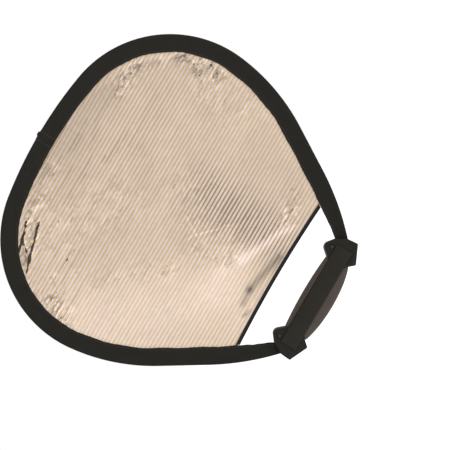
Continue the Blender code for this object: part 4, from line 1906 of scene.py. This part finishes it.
@dataclass
class Fastenings:
    """Cross-recessed screws and hexagon nuts, one pair through each lug, set out by Geometry Nodes."""

    handle: GripHandle
    shank: float = 1.5
    head: float = 2.8
    head_face: float = 11.0
    tip: float = -10.9
    cross: tuple[float, float, float] = (1.6, 1.1, 0.32)
    cross_turn: float = 0.35
    nut_flats: float = 5.5
    nut_face: float = 10.9
    nut_points: int = 36
    sharp: float = math.radians(28)

    def screw_mesh(self) -> bpy.types.Mesh:
        """One screw about its own axis along Y, with a cross recess in its head.

        Returns:
            The mesh, in metres.
        """
        f, h, s, seat = self.head_face, self.head, self.shank, self.handle.head_seat
        shank = [(0, self.tip), (s - 0.35, self.tip), (s, self.tip + 0.4), (s, seat)]
        head = [(h - 0.15, seat), (h, seat + 0.15), (h, f - 0.9), (h - 0.3, f - 0.45), (h - 0.8, f - 0.12)]
        body = self.handle.round_block(shank + head + [(h - 1.5, f), (0, f)], (0, 0))
        for turn in (0, math.pi / 2):
            place = Matrix.Rotation(turn + self.cross_turn, 4, "Y")
            reach, deep, half = self.cross
            slot = self.handle.block((-reach, f - deep, -half), (reach, f + 1, half), place)
            cut = body.modifiers.new("Cross recess", "BOOLEAN")
            cut.solver, cut.object = "EXACT", slot
        mesh = settle(body).data
        mesh.shade_smooth()
        mesh.set_sharp_from_angle(angle=self.sharp)
        return mesh

    def nut_mesh(self) -> bpy.types.Mesh:
        """One hexagon nut about its own axis along Y, its corners chamfered and its thread open.

        Returns:
            The mesh, in metres.
        """
        radius = self.nut_flats / math.sqrt(3)
        low, high = -self.nut_face, -self.handle.nut_seat
        shape, rings = bmesh.new(), []
        bore, count = self.shank + 0.15, self.nut_points
        flare = bore + 0.3
        for limit, y in ((bore, low + 0.3), (flare, low), (0.80 * radius, low), (radius, low + 0.45),
                         (radius, high - 0.45), (0.80 * radius, high), (flare, high), (bore, high - 0.3)):
            ring = []
            for k in range(count):
                a = 2 * math.pi * k / count
                hexed = radius * math.cos(math.pi / 6) / math.cos((a % (math.pi / 3)) - math.pi / 6)
                r = min(limit, hexed) if limit > flare else limit
                ring.append(shape.verts.new((r * math.cos(a) * MM, y * MM, r * math.sin(a) * MM)))
            rings.append(ring)
        for a, b in zip(rings, rings[1:] + rings[:1]):
            for k in range(count):
                shape.faces.new((a[k], a[(k + 1) % count], b[(k + 1) % count], b[k]))
        bmesh.ops.recalc_face_normals(shape, faces=shape.faces)
        mesh = bpy.data.meshes.new("nut")
        shape.to_mesh(mesh)
        shape.free()
        mesh.shade_smooth()
        mesh.set_sharp_from_angle(angle=self.sharp)
        return mesh

    def tree(self) -> RepeatTree:
        """The tree that sets one fastening in each lug.

        Returns:
            The tree.
        """
        x, z = self.handle.screw_at
        pair = RepeatTree("fastening_pair", {
            "Screw X": ("NodeSocketFloat", x * MM),
            "Screw Z": ("NodeSocketFloat", z * MM),
            "Finish": ("NodeSocketMaterial", ZINC.material()),
        })
        tree = pair.tree
        x, z = pair.given("Screw X"), pair.given("Screw Z")
        ends = {"Count": 2, "Start Location": tree.vector(-x, 0.0, z), "Offset": tree.vector(x, 0.0, z)}
        spots = tree.node("GeometryNodeMeshLine", {"mode": "END_POINTS"}, ends)
        inputs = {"Points": spots, "Instance": pair.given("Geometry")}
        pair.end(tree.node("GeometryNodeInstanceOnPoints", None, inputs))
        return pair

    def build(self) -> list[bpy.types.Object]:
        """The two screws and the two nuts, each pair one piece.

        Returns:
            The two pieces.
        """
        tree = self.tree()
        made = []
        for kind, mesh in (("screw", self.screw_mesh()), ("nut", self.nut_mesh())):
            piece = tree.run(f"{kind}_pair", mesh)
            piece.data.materials.clear()
            piece.data.materials.append(ZINC.material())
            nodes = [f"shell_{kind}_left", f"shell_{kind}_right"]
            made.append(finished(piece, Hold.GRIP, nodes))
        for helper in self.handle.helpers:
            bpy.data.objects.remove(helper)
        self.handle.helpers.clear()
        return made


def dress_ferrules() -> None:
    """Gives the crimped ferrules, which keep their CAD shape, their plated finish."""
    for _, side in SIDES:
        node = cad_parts[f"hoop_ferrule_{side}"]
        if not node.material_slots:
            node.data.materials.append(ZINC.material())
        for slot in node.material_slots:
            slot.material = ZINC.material()
        LOG.info("%s keeps its CAD shape in %s", node.name, ZINC.name)


# ---------------------------------------------------------------- studio


@dataclass
class Studio:
    """Floor, lights and camera. Lengths here are in metres."""

    floor: float = -0.30
    floor_reach: float = 14.0
    target: Point = (0.0214, 0.0, 0.1527)
    distance: float = 1.667
    lens: float = 100.0
    up: Point = (0.8616, 0.0, 0.5075)
    daylight: float = 0.44
    aim: Point = (0.0, 0.0, 0.2)

    def lay_floor(self) -> None:
        """A large pale floor below the object."""
        r = self.floor_reach
        corners = ((-r, -r), (r, -r), (r, r), (-r, r))
        floor = mesh_piece("floor", np.array([(*c, self.floor) for c in corners]), [(0, 1, 2, 3)], FLOOR)

    def light_world(self) -> None:
        """An even white surround, which lights the object less strongly than it shows behind it."""
        world = bpy.data.worlds.new("white_surround")
        world.use_nodes = True
        tree = Tree(world.node_tree)
        seen = tree.node("ShaderNodeLightPath", None, None, "Is Camera Ray")
        back = world.node_tree.nodes["Background"]
        back.inputs["Color"].default_value = (1, 1, 1, 1)
        strength = seen * (1.0 - self.daylight) + self.daylight
        world.node_tree.links.new(strength.socket, back.inputs["Strength"])
        bpy.context.scene.world = world

    def hang_light(
        self, name: str, where: Point, size: float, power: float, tint: Sequence[float] = (1.0, 1.0, 1.0),
    ) -> None:
        """One soft square light, facing the disc.

        Args:
            name: its name.
            where: its place.
            size: its side.
            power: its power in watts.
            tint: its colour.
        """
        lamp = bpy.data.lights.new(name, "AREA")
        lamp.shape, lamp.size, lamp.energy, lamp.color = "SQUARE", size, power, tint
        holder = bpy.data.objects.new(name, lamp)
        holder.location = where
        holder.rotation_euler = (Vector(self.aim) - Vector(where)).to_track_quat("-Z", "Y").to_euler()
        bpy.context.scene.collection.objects.link(holder)

    def set_camera(self) -> None:
        """The camera, level, square to the disc, and turned about its own axis."""
        data = bpy.data.cameras.new("camera")
        data.lens, data.sensor_width = self.lens, 36.0
        camera = bpy.data.objects.new("camera", data)
        up, back = Vector(self.up).normalized(), Vector((0, -1, 0))
        right = up.cross(back)
        camera.matrix_world = Matrix.Translation(Vector(self.target) + back * self.distance) @ Matrix(
            (right, up, back)).transposed().to_4x4()
        bpy.context.scene.collection.objects.link(camera)
        bpy.context.scene.camera = camera

    def build(self) -> None:
        """Everything in the studio."""
        self.set_camera()
        self.lay_floor()
        self.light_world()
        self.hang_light("key", (1.5, -1.5, 1.3), 0.9, 34.0, (1.0, 0.985, 0.96))
        self.hang_light("fill", (-1.2, -1.9, 0.2), 1.4, 12.0)
        self.hang_light("back_key", (-1.4, 1.5, 1.3), 0.9, 30.0, (0.97, 0.985, 1.0))
        self.hang_light("top", (0.0, 0.1, 2.2), 1.4, 12.0)
        bpy.context.scene.view_settings.view_transform = "Standard"
        bpy.context.scene.view_settings.look = "None"


WARM_MARKS = PanelMarks(
    # Creases raise the cloth a little; the finish paints shade along them, and painted highlight where the
    # amount is negative.
    creases=(
        Mark((-191, 300), (-168, 301), 1.4, 0.62), Mark((-192, 286), (-176, 286), 1.4, 0.6),
        Mark((-202, 280), (-191, 276), 1.6, 0.7), Mark((-127, 310), (-100, 308), 0.9, 0.7),
        Mark((-141, 291), (-125, 290), 0.9, 0.5), Mark((-95, 345), (-78, 348), 1.0, 0.5),
        Mark((-75, 371), (-61, 371), 1.0, 0.5),
        Mark((-150, 371), (-109, 383), 2.2, 1), Mark((-167, 349), (-102, 368), 2.2, 1),
        Mark((-132, 376), (-152, 352), 2.0, 0.8), Mark((105, 363), (135, 364), 1.5, 0.55),
        Mark((188, 301), (174, 282), 2.2, 0.6), Mark((197, 285), (193, 266), 2.2, 0.55),
        Mark((-72, 69), (-61, 67), 1.3, 0.7), Mark((-49, 387), (-35, 389), 1.5, 0.4),
        Mark((37, 221), (32, 178), 1.3, -0.62), Mark((32, 178), (19, 163), 1.3, -0.45),
        Mark((6, 205), (-9, 179), 1.5, -0.8), Mark((-9, 179), (14, 155), 1.6, -0.85),
        Mark((-22, 187), (-9, 179), 1.5, -0.8), Mark((-10, 216), (-7, 198), 1.2, -0.5),
        Mark((67, 202), (64, 188), 1.3, -0.7), Mark((2, 139), (25, 134), 1.3, -0.45),
        Mark((-97, 337), (-60, 322), 1.3, -0.4), Mark((149, 272), (161, 214), 1.3, -0.35),
    ),
    # Crumpled areas have stronger crinkles, which the finish shades with painted light and shade.
    crumples=(
        Mark((-182, 303), (-197, 270), 14, 0.9), Mark((-129, 260), (-64, 187), 11, 0.35),
        Mark((-28, 168), (-17, 118), 9, 0.4), Mark((-153, 317), (-159, 301), 7, 0.5),
        Mark((188, 310), (190, 265), 13, 1), Mark((103, 366), (145, 362), 10, 0.95),
        Mark((148, 358), (184, 317), 9, 0.5), Mark((-157, 361), (-107, 371), 11, 1),
        Mark((-98, 383), (-35, 389), 11, 0.7), Mark((52, 91), (73, 91), 8, 0.6),
        Mark((-97, 337), (-19, 290), 30, 0.3), Mark((33, 228), (9, 137), 24, 0.32),
        Mark((164, 267), (168, 207), 22, 0.28), Mark((110, 96), (70, 80), 9, 0.7),
        Mark((-179, 345), (-195, 326), 10, 0.7),
    ),
    # Painted light and shade: lighter towards one side, a painted highlight band along the cut edge with
    # painted shade beside it, and darker areas.
    painted_lights_and_shades=(
        Mark((-180, 242), (-63, 102), 58, 0.18), Mark((-96, 363), (-163, 298), 36, 0.05),
        Mark((-12, 112), (62, 78), 6.5, 0.30), Mark((-62, 126), (-12, 115), 22, 0.12),
        Mark((-36, 81), (21, 69), 5.5, -0.52), Mark((-57, 79), (-36, 80), 4.5, -0.42),
        Mark((-71, 70), (-61, 67), 2.4, -0.4), Mark((44, 182), (35, 103), 32, -0.03),
        Mark((134, 381), (193, 245), 40, -0.06), Mark((91, 386), (-3, 393), 30, -0.16),
        Mark((177, 288), (194, 274), 6, -0.22), Mark((-175, 291), (-166, 300), 12, -0.12),
        Mark((136, 157), (107, 102), 30, -0.06),
    ),
    runs=(
        Mark((-173, 277), (-77, 349), 18, 1.0), Mark((-178, 300), (-190, 280), 16, 1.3),
        Mark((81, 393), (-20, 395), 20, 1.1), Mark((-26, 364), (43, 342), 24, 0.9),
        Mark((-56, 399), (-35, 395), 8, 0.6), Mark((52, 205), (44, 84), 28, 0.8),
        Mark((104, 317), (-83, 346), 30, 0.3), Mark((-7, 189), (-2, 130), 20, 0.4),
    ),
    strong=(
        Mark((54, 190), (46, 84), 34, 0.62), Mark((16, 178), (22, 104), 32, 0.34),
        Mark((38, 324), (104, 317), 60, 0.14),
    ),
)
SILVER_MARKS = PanelMarks(
    # As on the warm panel, creases and crumples get painted shade and painted highlight, and the lighter areas
    # are painted light.
    creases=(Mark((-160, 330), (-118, 366), 1.4, 0.7), Mark((170, 300), (184, 250), 1.4, 0.6)),
    crumples=(Mark((-150, 330), (-60, 380), 24, 0.5), Mark((120, 340), (170, 260), 20, 0.5),
              Mark((-60, 90), (60, 90), 18, 0.3)),
    # Painted light: lighter areas.
    painted_lights_and_shades=(Mark((-80, 100), (80, 100), 52, 0.30), Mark((120, 200), (140, 150), 40, 0.12)),
    runs=(Mark((-120, 240), (120, 300), 60, 0.4),),
    strong=(Mark((-60, 250), (60, 330), 90, 0.3),),
)


def main() -> None:
    """Builds every piece in order and reports it."""
    logging.basicConfig(level=logging.INFO, format="%(name)s: %(message)s")
    Studio().build()

    SprungHoop().build()
    binding = RimBinding()
    rim = binding.build()
    reach = HOOP.length - 2
    spots = np.linspace(-reach, reach, 900)
    paths = [[binding.surface(s, binding.stitch_in, face) for s in spots] for face in Face]
    rim_stitches = finished(StitchRow().lay("rim_stitches", paths), Hold.BENDS)

    zones = ("lower", "flex", "upper")
    warm = ClothPanel("warm_cloth", Face.WARM, WARM_FOIL, tuple(f"front_panel_{z}" for z in zones), WARM_MARKS)
    silver = ClothPanel("silver_cloth", Face.SILVER, SILVER_FOIL, tuple(f"back_panel_{z}" for z in zones),
                        SILVER_MARKS, seed=1.4)
    tape = CutEdgeTape(warm)
    free_tape, free_stitches = tape.build(), tape.stitches()
    join_piece = TapeJoin(binding)
    wrapped, tacks = join_piece.build(), join_piece.bar_tacks()
    for panel, company in ((warm, (rim, rim_stitches, free_tape, free_stitches)), (silver, ())):
        piece = panel.build()
        flat, area = panel.cut_size()
        LOG.info("%s is cut to %.3f x %.3f m, %.4f square metres", piece.name, *flat, area)

    handle = GripHandle()
    handle.shells()
    GripInsert("inner_grip_insert", 1, 15.6, 18.4, 51.0).build()
    GripInsert("outer_grip_insert", -1, 17.7, 26.2, 51.9).build()
    Fastenings(handle).build()
    dress_ferrules()


if __name__ == "__main__":
    main()
